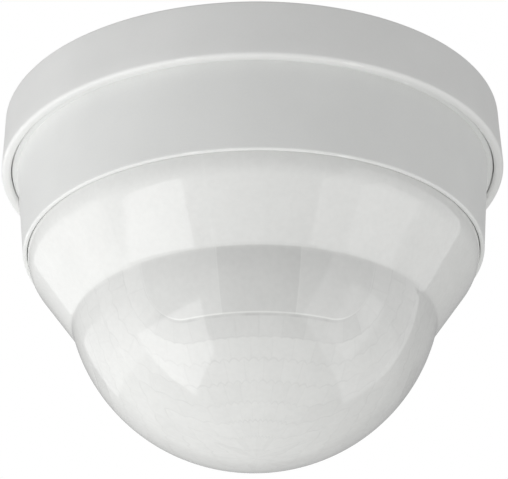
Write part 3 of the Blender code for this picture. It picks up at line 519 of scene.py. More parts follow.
def facet_tone(finish):
    """The tone of the milky plastic over its facets, with the faint lines between them, painted shade in the
    panes, a painted highlight along their lower edges, and painted light and shade on the rows.
    """
    spread = finish.spread

    def line(share, width, start, end):
        """A line at each whole share, from full to none between two distances in degrees."""
        return spread(share.to("PINGPONG", 0.5) * width, 1.0, 0.0, start, end)

    x, y, z = finish.coordinates()
    azimuth = x.to("ARCTAN2", y * -1.0).to("DEGREES")
    drop = (DOME_CENTRE_Z - z) / DOME_DEPTH
    latitude = drop.to("MINIMUM", 1.0).to("ARCSINE").to("DEGREES")
    across = (azimuth - SECTOR_TURN).to("WRAP", SECTOR_HALF, -SECTOR_HALF)
    wide = across.to("ABSOLUTE")
    beyond = (wide - BEND[0]).to("MAXIMUM", 0.0)
    down = (latitude - BEND[1]).to("MAXIMUM", 0.0)
    above = (BEND[1] - latitude).to("MAXIMUM", 0.0)
    swing = beyond.to("ARCTAN2", down) / math.radians(90 / BEND_CELLS)
    along = ((wide.to("MINIMUM", BEND[0]) + above) / CELL + swing) * across.to("SIGN")
    reach = (beyond.to("POWER", 2.0) + down.to("POWER", 2.0)).to("SQRT")
    wave = (along * (2 * math.pi)).to("SINE").to("ABSOLUTE")
    row = (reach + wave * spread(reach, 0.0, SCALLOP, *SCALLOPED) - FIRST_ROW) / ROW
    number = row.to("FLOOR")
    cell = along + number * ROW_SHIFT
    in_pane = row.to("LESS_THAN", 0.0)
    in_row = 1.0 - in_pane
    on_cone = spread(latitude, 1.0, 0.0, CREASE - 0.25, CREASE + 0.25)

    # tones
    pane = across / PANE + 0.5
    # painted shade: the panes darker where the dark inside shows through, the outer panes of each sector
    # lighter
    pane_shade_tone = wide.to("GREATER_THAN", PANE / 2) * SIDE_PANE_LESS_SHADE + PANE_SHADE_TONE
    chance = finish.chance("1D", W=cell.to("FLOOR") + number * 41.0).outputs["Value"]
    in_strip = spread(row, 1.0, 0.0, 0.98, 1.02) * spread(swing, 1.0, 0.0, 1.9, 2.6)
    # painted light and shade: the rows' tone falls from the dome's sides to its tip
    row_tone = spread(in_strip, spread(latitude, *ROW_SHADING_TONES, 35.0, 75.0), STRIP_TONE, 0.0, 1.0)
    row_tone = row_tone + spread(chance, -CELL_SPREAD, CELL_SPREAD, 0.0, 1.0)
    dome_tone = in_pane * pane_shade_tone + in_row * row_tone

    # lines
    faint = spread(finish.noise(3.5 * MM, 3.0), 0.15, 1.0)
    row_line = line(row, ROW, 0.12, 0.5)
    cell_line = line(cell, CELL, 0.1, 0.5)
    under_panes = spread(swing, 1.0, 0.0, 0.8, 1.8)
    dark_edge = spread((row - 0.075).to("ABSOLUTE"), 1.0, 0.0, 0.02, 0.07) * under_panes * PANE_EDGE
    # a painted highlight: a thin bright line along the lower edge of the panes, strongest under the panes and
    # faint at the corners
    pane_edge_highlight = spread((row + 0.03).to("ABSOLUTE"), 1.0, 0.0, 0.015, 0.045)
    dark = in_row * row_line.to("MAXIMUM", cell_line * 0.5) * faint
    dark = dark.to("MAXIMUM", dark_edge * faint)
    dome_tone = dome_tone - dark * DARK_LINE + pane_edge_highlight * spread(under_panes, 0.02, 0.12, 0.0, 1.0)
    dome_tone = dome_tone + in_pane * line(pane, PANE, 0.15, 0.5) * faint * PANE_LINE

    # the cone
    facet = 360 / CONE_FACETS
    cone = (azimuth - CONE_TURN) / facet
    chance = finish.chance("1D", W=cone.to("FLOOR")).outputs["Value"]
    cone_tone = spread(latitude, SHOULDER_TONE, CONE_TONE, *SHOULDER_FADE)
    cone_tone = cone_tone + spread(chance, -CONE_SPREAD, CONE_SPREAD, 0.0, 1.0)
    cone_tone = cone_tone + line(cone, facet, 0.1, 0.7) * faint * CONE_LINE
    return on_cone * cone_tone + (1.0 - on_cone) * dome_tone


def milky_lens():
    """Polished milky plastic whose facets are painted on as they show through from its inner side, with
    painted shade, painted light and a painted highlight among their tones.
    """
    finish = Finish("milky_lens", IOR=1.5)
    cloudy = finish.spread(finish.noise(7 * MM, 4.0), -0.010, 0.010)
    mottle = finish.spread(finish.noise(1.1 * MM, 2.0), -0.012, 0.012)
    tone = facet_tone(finish) + cloudy + mottle
    channels = zip(("Red", "Green", "Blue"), LENS_TINT)
    colour = finish.node("CombineColor", **{name: tone * share for name, share in channels})
    finish.colour(colour.outputs[0])
    finish.roughness(finish.spread(finish.noise(4 * MM, 3.0), 0.055, 0.085))
    finish.bump(finish.noise(1.5 * MM, 2.0), 0.0015 * MM)
    return finish.material


# The back box, its gasket and its cable grommet


BOX_LOW, BOX_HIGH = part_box("surface_mount_box")
RIM_R = BOX_HIGH.x
RIM_INNER_R = RIM_R - 1.9 * MM
BOX_TOP_R = RIM_R - 0.6 * MM
RIM_ROUND = 0.8 * MM
PLATE = 2.6 * MM
EDGE = 0.6 * MM
HUB_R = 12.0 * MM
RELIEF_R = 36.0 * MM
RELIEF = 0.9 * MM
RIB_ANGLES = (22.5, 67.5, 112.5, 157.5)
RIB_WIDTH = 1.4 * MM
GROOVE_R = mm(42.9, 47.1)
GROOVE = 1.2 * MM
FIXING_SLOTS = ((-30.0 * MM, 0.0), (30.0 * MM, 0.0))
SLOT_HALF_WIDTH = 2.2 * MM
SLOT_HALF_LENGTH = 4.5 * MM
SLOT_PAD_R = 6.5 * MM
CABLE_AT = (0.0, 25.5 * MM)
CABLE_HOLE_R = 8.0 * MM
CABLE_PAD_R = 12.0 * MM
CABLE_BORE_R = 4.6 * MM
FLANGE_SEAT_R = 10.3 * MM
FLANGE_SEAT = 1.0 * MM
KNOCKOUT_ANGLES = (0.0, 90.0, 180.0)
KNOCKOUT_R = 4.2 * MM
KNOCKOUT_Z = -7.2 * MM
KNOCKOUT_DEPTH = 4.5 * MM
KNOCKOUT_SKIN = 0.8 * MM
NOZZLE_LEDGES = 4
NOZZLE_R = 6.4 * MM
NOZZLE_FOOT_R = 5.3 * MM

# The twist lock between the box and the head
LOCK_ANGLES = (30.0, 150.0, 270.0)
HOOK_R = mm(44.3, 49.0)
HOOK_Z = mm(-8.7, -7.1)
HOOK_ANGLES = (-7.0, 10.5)
STOP_ANGLES = (6.4, 9.8)
LUG_HALF_ANGLE = 6.0
LUG_R = 46.9 * MM
LUG_Z = mm(-6.6, -5.2)


def box_profile():
    """From the middle of the back, out and down the wall, round the rim and back along the inside."""
    rim_z = BOX_LOW.z + RIM_ROUND
    inner_z = BOX_LOW.z + EDGE
    corner = 2 * EDGE
    return [
        (0.0, 0.0), (HUB_R, 0.0), (HUB_R, -RELIEF), (RELIEF_R, -RELIEF), (RELIEF_R, 0.0),
        (GROOVE_R[0], 0.0), (GROOVE_R[0], -GROOVE), (GROOVE_R[1], -GROOVE), (GROOVE_R[1], 0.0),
        *arc((BOX_TOP_R - EDGE, -EDGE), EDGE, 90, 0, 6),
        *straight((BOX_TOP_R, -2 * EDGE), (RIM_R, rim_z), 4)[1:],
        *arc((RIM_R - RIM_ROUND, rim_z), RIM_ROUND, 0, -90, 8),
        *arc((RIM_INNER_R + EDGE, inner_z), EDGE, -90, -180, 8),
        *arc((RIM_INNER_R - EDGE - corner, -PLATE - corner), corner, 0, 90, 5), (0.0, -PLATE),
    ]


def make_box():
    box = turned("mounting_box", box_profile(), FINE)
    rib_size = (2 * RELIEF_R + MM, RIB_WIDTH, RELIEF + GAP)
    ribs = [block("rib", rib_size, (0.0, 0.0, -rib_size[2] / 2), turn) for turn in RIB_ANGLES]
    pads = rods("slot_pads", SLOT_PAD_R, -RELIEF - GAP, 0.0, FIXING_SLOTS, SMALL)
    cable_pad = rods("cable_pad", CABLE_PAD_R, -RELIEF - GAP, 0.0, [CABLE_AT], MEDIUM)
    joined(box, *ribs, pads, cable_pad)
    hooks = [sector(*HOOK_R, at + HOOK_ANGLES[0], at + HOOK_ANGLES[1]) for at in LOCK_ANGLES]
    stop_r = (HOOK_R[0] + GAP, HOOK_R[1] - GAP)
    stops = [sector(*stop_r, at + STOP_ANGLES[0], at + STOP_ANGLES[1]) for at in LOCK_ANGLES]
    joined(box, slab("hooks", hooks, *HOOK_Z), slab("stops", stops, HOOK_Z[0] + GAP, -PLATE + GAP))
    through = (-2 * PLATE, PLATE)
    outlines = [stadium(SLOT_HALF_WIDTH, SLOT_HALF_LENGTH, at) for at in FIXING_SLOTS]
    wide = [stadium(SLOT_HALF_WIDTH + MM, SLOT_HALF_LENGTH + MM, at) for at in FIXING_SLOTS]
    cut(box, slab("slots", outlines, *through), slab("countersinks", wide, -2 * PLATE, -PLATE + GAP))
    cut(box, rods("cable_hole", CABLE_HOLE_R, *through, [CABLE_AT], MEDIUM))
    cut(box, rods("flange_seat", FLANGE_SEAT_R, -FLANGE_SEAT, PLATE, [CABLE_AT], MEDIUM))
    return cut(box, knockouts())


def knockouts():
    """Blind round pockets inside the wall, where a cable from the side can be broken through."""
    reach = BOX_TOP_R - KNOCKOUT_SKIN
    pockets = []
    for angle in KNOCKOUT_ANGLES:
        pocket = rods("pocket", KNOCKOUT_R, reach - KNOCKOUT_DEPTH, reach, [(0.0, 0.0)])
        turn = Vector((*on_circle(1.0, angle), 0.0)).to_track_quat("Z", "Y").to_matrix().to_4x4()
        pockets.append(moved(pocket, Matrix.Translation((0.0, 0.0, KNOCKOUT_Z)) @ turn))
    return gathered("pockets", pockets)


def make_gasket():
    """A flat foam ring with two sealing ridges on its upper face."""
    size, _, low, _ = extent("ceiling_gasket")
    inner, outer = GROOVE_R[0] + GAP, size.x / 2
    quarter = (outer - inner) / 4
    ridges = []
    for ridge in (inner + quarter, outer - quarter):
        ridges += arc((ridge, -GAP), (quarter - STEP, GAP), 180, 0, 8)
    return turned("rubber_gasket", [(inner, low), (inner, -GAP), *ridges, (outer, -GAP), (outer, low)], FINE)


def make_grommet():
    """A soft sleeve that lines the cable hole, with a stepped nozzle below it."""
    flange_r = FLANGE_SEAT_R - GAP
    neck_r = CABLE_HOLE_R - GAP
    below = -PLATE - GAP
    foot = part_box("cable_grommet")[0].z
    nozzle = []
    reach = foot - below + MM
    for i in range(NOZZLE_LEDGES):
        radius = NOZZLE_R - GAP * i
        for share, narrower in ((0.0, 0.0), (0.75, STEP)):
            nozzle.append((radius - narrower, below - MM + reach * (i + share) / NOZZLE_LEDGES))
    profile = [
        (CABLE_BORE_R + GAP, 0.0), *arc((flange_r - GAP, -GAP), GAP, 90, 0, 4),
        (flange_r, -FLANGE_SEAT + GAP), (neck_r, -FLANGE_SEAT + GAP), (neck_r, below),
        *arc((neck_r + MM, below - 0.5 * MM), 0.5 * MM, 90, -90, 6), *nozzle, (NOZZLE_FOOT_R, foot),
        (CABLE_BORE_R, foot), (CABLE_BORE_R, -GAP),
    ]
    return turned("cable_gland", profile, MEDIUM, CABLE_AT)


# The head's chassis, its terminals and boards


CORNERS = ((1, 1), (-1, 1), (-1, -1), (1, -1))
SEAM = 0.25 * MM  # how deep the relay's case is grooved
RELAY_VENT = Vector((-7.0, 5.0)) * MM
CHASSIS_R = 42.5 * MM
CHASSIS_WALL = 1.6 * MM
CHASSIS_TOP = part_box("head_chassis")[1].z
CHASSIS_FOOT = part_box("head_chassis")[0].z
CHASSIS_PLATE = 1.8 * MM
WELL_X = 22.0 * MM
WELL_Y = mm(8.0, 32.0)
WELL_FLOOR = -14.0 * MM
POST_R = 2.6 * MM
POSTS = [on_circle(37.1 * MM, angle) for angle in (90.0, 210.0, 330.0)]
POST_FOOT = -19.3 * MM
PILOT_R = 1.3 * MM
BOARD_HOLE_R = 1.4 * MM
DRIVER_SLOT = mm(4.0, 0.7, 1.6)
TONGUE_ANGLES = (50.0, 170.0, 290.0)
TONGUE_HALF_WIDTH = 5.0 * MM
TONGUE_SLOT = 0.8 * MM
TONGUE_ROOT = -14.0 * MM
BUMP_HALF_ANGLE = 3.5
PILOT_TOP = -10.5 * MM
BUMP_R = 42.7 * MM
BUMP_Z = mm(-20.2, -18.8)
KEY_SIZE = mm(2.2, 2.0, 17.5)
PINS = 5
POLES = [(i - 1.5) * 8.0 * MM for i in range(4)]
LEGS = [(x, 11.5 * MM) for x in POLES]
HOUSING_SIZE = Vector((34.0, 9.5, 8.2)) * MM
HOUSING_MIDDLE = Vector((0.0, 13.75, -9.6)) * MM
ENTRY_SIZE = mm(3.4, 11.0, 3.4)
CLAMP_WELL_R = 2.2 * MM
CLAMP_WELL_FLOOR = -10.1 * MM


def make_chassis():
    inner = CHASSIS_R - CHASSIS_WALL
    ceiling = CHASSIS_TOP - CHASSIS_PLATE
    profile = [
        (0.0, CHASSIS_TOP), *arc((CHASSIS_R - EDGE, CHASSIS_TOP - EDGE), EDGE, 90, 0, 6),
        *arc((CHASSIS_R - GAP, CHASSIS_FOOT + GAP), GAP, 0, -90, 4), (inner, CHASSIS_FOOT),
        (inner, ceiling), (0.0, ceiling),
    ]
    chassis = turned("chassis_shell", profile, FINE)
    root = CHASSIS_R - CHASSIS_WALL / 2
    tub_top = CHASSIS_TOP - CHASSIS_PLATE / 2
    tub_foot = WELL_FLOOR - CHASSIS_WALL
    well_depth = WELL_Y[1] - WELL_Y[0]
    well_middle = sum(WELL_Y) / 2
    tub_size = (2 * (WELL_X + CHASSIS_WALL), well_depth + 2 * CHASSIS_WALL, tub_top - tub_foot)
    lugs = [sector(root, LUG_R, at - LUG_HALF_ANGLE, at + LUG_HALF_ANGLE) for at in LOCK_ANGLES]
    bumps = [sector(root, BUMP_R, at - BUMP_HALF_ANGLE, at + BUMP_HALF_ANGLE) for at in TONGUE_ANGLES]
    joined(
        chassis,
        block("tub", tub_size, (0.0, well_middle, (tub_top + tub_foot) / 2)),
        rods("posts", POST_R, POST_FOOT, tub_top, POSTS),
        slab("lugs", lugs, *LUG_Z),
        slab("bumps", bumps, *BUMP_Z),
        block("key", KEY_SIZE, (root + KEY_SIZE[0] / 2, 0.0, CHASSIS_FOOT + 0.5 * MM + KEY_SIZE[2] / 2)),
    )
    slots = []
    for angle in TONGUE_ANGLES:
        for side in (-1, 1):
            size = (4.0 * MM, TONGUE_SLOT, TONGUE_ROOT - CHASSIS_FOOT + MM)
            centre = (root, side * TONGUE_HALF_WIDTH, TONGUE_ROOT - size[2] / 2)
            slots.append(block("slot", size, centre, angle))
    well_size = (2 * WELL_X, well_depth, -WELL_FLOOR)
    return cut(
        chassis,
        block("well", well_size, (0.0, well_middle, WELL_FLOOR / 2)),
        rods("leg_holes", MM, tub_foot - MM, WELL_FLOOR + MM, LEGS),
        rods("pilots", PILOT_R, POST_FOOT - MM, PILOT_TOP, POSTS),
        gathered("slots", slots),
    )


def make_terminal_housing():
    """The block with ribs between its poles, its wire entries, its clamp wells and its soldered legs."""
    size, middle = HOUSING_SIZE, HOUSING_MIDDLE
    low, high = middle - size / 2, middle + size / 2
    housing = rounded(block("terminal_housing", size, middle), 0.5 * MM)
    rib_size = (0.8 * MM, size.y - 2 * MM, 0.8 * MM)
    ribs = [block("rib", rib_size, ((a + b) / 2, middle.y, high.z)) for a, b in zip(POLES, POLES[1:])]
    joined(housing, *ribs, rods("legs", 0.6 * MM, POST_FOOT, low.z + MM, LEGS, 16))
    blanks = [block("entry", ENTRY_SIZE, (x, high.y, low.z + 2.6 * MM)) for x in POLES]
    entries = [rounded(entry, 0.5 * MM) for entry in blanks]
    wells = rods("wells", CLAMP_WELL_R, CLAMP_WELL_FLOOR, high.z + MM, [(x, middle.y) for x in POLES])
    return cut(housing, gathered("entries", entries), wells)


def slotted_screw(name, node):
    """A clamp screw with a rounded head and a slot."""
    size, middle = extent(node)[:2]
    radius, half = size.x / 2, size.z / 2
    shoulder = arc((radius - GAP, half - GAP), GAP, 90, 0, 5)
    screw = turned(name, [(0.0, half), *shoulder, (radius, -half), (0.0, -half)], SMALL)
    cut(screw, block("slot", DRIVER_SLOT, (0.0, 0.0, half)))
    return carried(screw, middle)


def make_board(name, node):
    size, _, low, high = extent(node)
    holes = [circle(BOARD_HOLE_R, SMALL, at) for at in POSTS]
    return slab(name, [circle(size.x / 2, FINE), *holes], low, high)


def make_spacer(name, node):
    size, middle = extent(node)[:2]
    outer, half, inner, bend = size.x / 2, size.z / 2, PILOT_R + GAP, 0.2 * MM
    profile = [
        (inner, half), *arc((outer - bend, half - bend), bend, 90, 0, 3),
        *arc((outer - bend, bend - half), bend, 0, -90, 3), (inner, -half),
    ]
    return carried(turned(name, profile, SMALL), middle)


def make_relay():
    """A case on a base, with the seam between them and a vent nub on top."""
    size, middle, low, high = extent("relay")
    case_size = size - Vector((0.0, 0.0, 2 * STEP))
    case = rounded(block("relay_case", case_size, middle - Vector((0.0, 0.0, STEP))), 0.7 * MM, 4)
    outlines = []
    for half_x, half_y in ((size.x, size.y), (size.x / 2 - SEAM, size.y / 2 - SEAM)):
        outlines.append([(middle.x + half_x * x, middle.y + half_y * y) for x, y in CORNERS])
    cut(case, slab("seam", outlines, low + 2.0 * MM, low + 2.3 * MM))
    return joined(case, rods("nub", 0.8 * MM, middle.z, high, [middle.xy + RELAY_VENT], 24))


def make_film_capacitor():
    """A boxed capacitor with rounded corners and a slightly sunk potted foot."""
    size, middle, low, _ = extent("dropper_capacitor")
    case = rounded(block("mains_capacitor", size, middle), 0.8 * MM, 4)
    pocket = (size.x - 1.6 * MM, size.y - 1.6 * MM, 0.8 * MM)
    return cut(case, block("potting", pocket, (*middle.xy, low)))


def make_can_capacitor():
    """A sleeved can with a crimp near its foot, and a crossed vent in its sunk top."""
    size, middle, foot, top = extent("smoothing_capacitor")
    radius, bend = size.x / 2, 0.5 * MM
    profile = [
        (0.0, top - GAP), (radius - 2 * bend, top - GAP),
        *arc((radius - bend, top - bend), bend, 90, 0, 5), (radius, foot + 3.2 * MM),
        *arc((radius, foot + 2.4 * MM), (bend, 0.6 * MM), 90, 270, 8), (radius, foot + 1.6 * MM),
        (radius, foot), (0.0, foot),
    ]
    can = turned("reservoir_capacitor", profile, SMALL, middle.xy)
    for turn in (0, 90):
        vent = block("vent", (radius, 0.25 * MM, GAP), (0.0, 0.0, top - GAP), turn)
        cut(can, carried(vent, middle.xy))
    return can


def make_fuse():
    """A round plastic case with a ring groove round its base."""
    size, middle, foot, top = extent("fuse")
    radius, groove = size.x / 2, 0.25 * MM
    profile = [
        (0.0, top), *arc((radius - EDGE, top - EDGE), EDGE, 90, 0, 6), (radius, foot + 1.6 * MM),
        (radius - groove, foot + 1.4 * MM), (radius - groove, foot + 1.1 * MM),
        (radius, foot + 0.9 * MM), (radius, foot), (0.0, foot),
    ]
    return turned("round_fuse", profile, SMALL, middle.xy)


def make_varistor():
    """A dipped disc on two wires."""
    size, middle, foot, top = extent("varistor")
    radius, half = size.x / 2, size.y / 2
    profile = [(0.0, half), *arc((radius - half, 0.0), half, 90, -90, 12), (0.0, -half)]
    disc = moved(turned("surge_disc", profile, SMALL), Matrix.Rotation(math.pi / 2, 4, "X"))
    carried(disc, (*middle.xy, top - radius))
    legs = [(middle.x + side * 2.2 * MM, middle.y) for side in (-1, 1)]
    return joined(disc, rods("legs", 0.4 * MM, foot, foot + 3.6 * MM, legs, 16))


def make_header():
    """A pin header: one square per pin, parted by notches."""
    size, middle = extent("board_connector")[:2]
    header = rounded(block("pin_header", size, middle), 0.2 * MM, 2)
    pitch = size.x / PINS
    notches = []
    for i in range(1, PINS):
        for side in (-1, 1):
            at = (middle.x - size.x / 2 + pitch * i, middle.y + side * size.y / 2, middle.z)
            notches.append(block("notch", (0.6 * MM, 0.6 * MM, size.z * 2), at))
    return cut(header, gathered("notches", notches))


# The inner cover and its controls


INNER_COVER_Z = mm(-29.8, -28.2)
WINDOW_R = 19.6 * MM
COLLAR_WALL = 1.4 * MM
GRIP = 0.15 * MM
GRIP_RIBS = 18
POINTER_SIZE = mm(1.0, 5.6, 2.0)
DIAL_HOLE_R = 4.9 * MM
DIAL_SINK_R = 5.2 * MM
BUTTON_HOLE_R = 2.9 * MM
LED_HOLE_R = 2.1 * MM
TICKS = 11
TICK_SPAN = 270.0
TICK_R = 6.1 * MM
TICK_SIZES = (mm(1.3, 0.3, 0.5), mm(0.8, 0.3, 0.5))  # every fifth, the others


def face_plate_profile():
    """Out along the plate's upper side, round its wall and its foot, and round the collar of its window."""
    low, high = INNER_COVER_Z
    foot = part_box("inner_cover")[0].z
    inner, outer = CHASSIS_R - CHASSIS_WALL, CHASSIS_R - STEP
    collar_r = WINDOW_R + COLLAR_WALL
    bend = COLLAR_WALL / 2 - STEP
    return [
        (inner, high), (inner, CHASSIS_FOOT - GAP), (outer, CHASSIS_FOOT - GAP),
        *arc((outer - EDGE, low + EDGE), EDGE, 0, -90, 6), (collar_r + GAP, low),
        (collar_r, low - GAP), *arc((collar_r - bend, foot + bend), bend, 0, -90, 6),
        *arc((WINDOW_R + bend, foot + bend), bend, -90, -180, 6), (WINDOW_R, high),
    ]


def make_face_plate():
    """The inner cover: a plate with a wall, a collar round its window, and scales round its dials."""
    low, high = INNER_COVER_Z
    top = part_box("inner_cover")[1].z
    dials = [extent(node)[1].xy for node in ("lux_dial", "time_dial")]
    plate = turned("face_plate", face_plate_profile(), FINE)
    joined(plate, rods("bosses", POST_R, high - EDGE, top, POSTS))
    for radius, upper, places in (
        (BOARD_HOLE_R, top + MM, POSTS),
        (DIAL_HOLE_R, high + MM, dials),
        (DIAL_SINK_R, low + GAP, dials),
        (BUTTON_HOLE_R, high + MM, [extent("test_button")[1].xy]),
        (LED_HOLE_R, high + MM, [extent("status_led")[1].xy]),
    ):
        cut(plate, rods("holes", radius, low - MM, upper, places))
    ticks = []
    for at in dials:
        for i in range(TICKS):
            turn = 90 + TICK_SPAN * (i / (TICKS - 1) - 0.5)
            tick = block("tick", TICK_SIZES[i % 5 != 0], (TICK_R, 0.0, low), turn)
            ticks.append(carried(tick, at))
    return joined(plate, gathered("ticks", ticks))


def make_long_screw(name, node):
    """A long screw with a rounded head and a cross recess."""
    size, middle, low, high = extent(node)
    radius, head = size.x / 2, 1.5 * MM
    shank, thread, half_pitch, plain = mm(0.8, 0.2, 0.35, 9.0)
    turns = [(shank + thread * (i % 2), low + head + plain + half_pitch * i) for i in range(24)]
    profile = [
        (0.0, high), (0.4 * MM, high), *reversed(turns), (shank, low + head), (radius, low + head),
        *arc((radius - 2 * EDGE, low + 2 * EDGE), 2 * EDGE, 0, -90, 8), (0.0, low),
    ]
    screw = turned(name, profile, SMALL)
    for turn in (0, 90):
        cut(screw, block("recess", mm(3.0, 0.7, 1.6), (0.0, 0.0, low), turn))
    return carried(screw, middle.xy)


def make_small_body(name, node, bore_r, bore_depth):
    """The square body that a dial or a button works in."""
    size, middle, low, _ = extent(node)
    body = rounded(block(name, size, middle), GAP)
    return cut(body, rods("bore", bore_r, low - MM, low + bore_depth, [middle.xy]))


def make_wheel(name, node):
    """A dial with a gripped edge, a rounded face and a deep pointer slot."""
    _, middle, low, high = extent(node)
    radius, face_high = 4.4 * MM, low + 3.2 * MM
    outline = []
    for angle in range(0, 360, 2):
        x, y = on_circle(radius - GRIP * (1 + math.cos(math.radians(GRIP_RIBS * angle))), angle)
        outline.append((middle.x + x, middle.y + y))
    wheel = rounded(slab(name, [outline], low, face_high), GAP)
    joined(wheel, rods("spindle", 1.2 * MM, face_high - MM, high, [middle.xy]))
    pointer = block("pointer", POINTER_SIZE, (middle.x, middle.y - 1.2 * MM, low))
    return cut(wheel, rounded(pointer, 0.25 * MM, 2))


def make_push_cap():
    """The test button: a domed cap on a stem."""
    size, middle, low, high = extent("test_button")
    radius, stem, shoulder = size.x / 2, 1.6 * MM, high - 1.4 * MM
    profile = [
        (0.0, high), (stem, high), (stem, shoulder), (radius, shoulder),
        *arc((radius - EDGE, low + EDGE + STEP), EDGE, 0, -80, 7), (0.0, low),
    ]
    return turned("push_cap", profile, SMALL, middle.xy)


def make_led():
    size, middle, low, high = extent("status_led")
    base, radius, collar = size.x / 2, size.x / 2 - GAP, high - 0.9 * MM
    dome = arc((0.0, low + radius), radius, 0, -90, 12)[:-1]
    profile = [(0.0, high), (base, high), (base, collar), (radius, collar), *dome, (0.0, low)]
    return turned("red_led", profile, SMALL, middle.xy)


# The turret and its sensors


TURRET_LOW, TURRET_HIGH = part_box("sensor_turret")
TURRET_HALF = TURRET_HIGH.x
TURRET_END_HALF = 4.5 * MM
TURRET_SHOULDER = TURRET_HIGH.z - 2.6 * MM
SENSOR_ANGLES = (0.0, 90.0, 180.0, 270.0)
CAN_SEAT = 0.8 * MM
CAN_SEAT_R = 4.9 * MM
CAN_LEDGE_R = 5.4 * MM
CAN_POCKET = mm(4.6, 3.4, 1.4)
HEAT_WINDOW = mm(4.0, 2.8, 0.4)
HEAT_WINDOW_AT = 3.8 * MM


def turret_face(angle):
    """Where a slanted face of the turret lies: a matrix whose Z looks out from the face's middle."""
    x, y = on_circle((TURRET_HALF + TURRET_END_HALF) / 2, angle)
    middle = Vector((x, y, (TURRET_SHOULDER + TURRET_LOW.z) / 2))
    drop = TURRET_SHOULDER - TURRET_LOW.z
    out = Vector((*on_circle(drop, angle), TURRET_END_HALF - TURRET_HALF))
    return Matrix.Translation(middle) @ out.to_track_quat("Z", "Y").to_matrix().to_4x4()


def make_turret():
    """A four-sided tapered block with a stepped round seat for a sensor on each slanted face."""
    levels = ((TURRET_HALF, TURRET_HIGH.z), (TURRET_HALF, TURRET_SHOULDER), (TURRET_END_HALF, TURRET_LOW.z))
    shape = bmesh.new()
    rings = [[shape.verts.new((half * x, half * y, z)) for x, y in CORNERS] for half, z in levels]
    for upper, lower in zip(rings, rings[1:]):
        for i in range(4):
            shape.faces.new((upper[i - 1], upper[i], lower[i], lower[i - 1]))
    shape.faces.new(rings[0])
    shape.faces.new(rings[-1])
    turret = rounded(placed("sensor_pyramid", kept_mesh(shape, "sensor_pyramid")), 0.8 * MM, 4)
    for angle in SENSOR_ANGLES:
        for radius, depth in ((CAN_SEAT_R, CAN_SEAT), (CAN_LEDGE_R, GAP)):
            seat = rods("seat", radius, -depth, 4.0 * MM, [(0.0, 0.0)])
            cut(turret, moved(seat, turret_face(angle)))
    return turret


def make_heat_can(name, angle):
    """A metal can with a rolled flange and a sunk oblong window."""
    radius, height, flange_r, flange, bend = mm(4.15, 4.0, 4.6, 0.5, 0.4)
    profile = [
        (0.0, height), *arc((radius - bend, height - bend), bend, 90, 0, 7),
        *arc((radius + bend / 2, flange + bend / 2), bend / 2, 180, 270, 4),
        *arc((flange_r - bend / 2, flange - bend / 2), bend / 2, 90, 0, 4), (flange_r, 0.0),
        (0.0, 0.0),
    ]
    can = turned(name, profile, 72)
    cut(can, rounded(block("pocket", CAN_POCKET, (0.0, 0.0, height)), GAP))
    return moved(carried(can, (0.0, 0.0, GAP - CAN_SEAT)), turret_face(angle))


def make_heat_window(name, angle):
    window = block(name, HEAT_WINDOW, (0.0, 0.0, HEAT_WINDOW_AT + GAP - CAN_SEAT))
    return moved(rounded(window, STEP, 2), turret_face(angle))


def make_daylight_sensor():
    size, _, low, high = extent("light_sensor")
    radius, base = size.x / 2, high - 1.2 * MM
    dome = arc((0.0, base), (radius - 0.2 * MM, base - low), 0, -90, 14)[:-1]
    return turned("daylight_sensor", [(0.0, high), (radius, high), (radius, base), *dome, (0.0, low)], SMALL)


# The cover: ring and lens


RING_LOW, RING_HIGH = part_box("cover_ring")
LENS_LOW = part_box("fresnel_lens")[0]
RING_INNER_R = 45.4 * MM
WALL_R = 47.3 * MM
FLANGE_R = 48.42 * MM
FLANGE_Z = mm(-11.6, -10.2)
WAIST = mm(46.75, -19.0)
FOOT_R = 46.0 * MM
LIP_INNER_R = 45.1 * MM
LIP_ROUND = 0.5 * MM
SHELF_R = 43.1 * MM
SHELF_Z = mm(-25.9, -24.3)
CATCH_R = 43.3 * MM
CATCH_Z = mm(-18.5, -17.0)
CATCH_HALF_ANGLE = 4.0
KEY_NOTCH_HALF_ANGLE = 2.2
HOOK_HALF = 5.0
HOOK_HEAD_HALF = 8.0
LENS_HOOKS = (45.0, 135.0, 225.0, 315.0)
LENS_HOOK_R = mm(43.95, 44.75)

DOME_CENTRE_Z = -37.0 * MM
DOME_R = 37.06 * MM
DOME_DEPTH = DOME_CENTRE_Z - LENS_LOW.z
LENS_TOP = -26.2 * MM
LENS_WALL = 1.2 * MM
COLLAR_R = 45.0 * MM
SHOULDER_Z = -29.7 * MM
SHOULDER_ROUND = 8.0 * MM
CONE_ANGLE = 55.6  # from the horizontal
LENS_STEPS = 360
LENS_STEP = 0.8 * MM
FACET_DEPTH = 0.35 * MM


def ring_profile():
    """Down the outside from the top edge, round the lip, and up to the shelf that the lens hooks over."""
    flange_low, flange_high = FLANGE_Z
    bend = 0.2 * MM
    top_edge = 2 * bend
    inner_lip = LIP_ROUND / 2
    return [
        (RING_INNER_R, RING_HIGH.z),
        *arc((WALL_R - top_edge, RING_HIGH.z - top_edge), top_edge, 90, 0, 5),
        (WALL_R, flange_high), *arc((FLANGE_R - bend, flange_high - bend), bend, 90, 0, 5),
        *arc((FLANGE_R - bend, flange_low + bend), bend, 0, -90, 5), (WALL_R, flange_low),
        *straight((WALL_R, flange_low), WAIST, 3)[1:],
        *straight(WAIST, (FOOT_R, RING_LOW.z + LIP_ROUND), 4),
        *arc((FOOT_R - LIP_ROUND, RING_LOW.z + LIP_ROUND), LIP_ROUND, 0, -90, 8),
        *arc((LIP_INNER_R + inner_lip, RING_LOW.z + inner_lip), inner_lip, -90, -180, 6),
        (LIP_INNER_R, SHELF_Z[0]), (SHELF_R, SHELF_Z[0]), (SHELF_R, SHELF_Z[1]),
        (RING_INNER_R, SHELF_Z[1]),
    ]


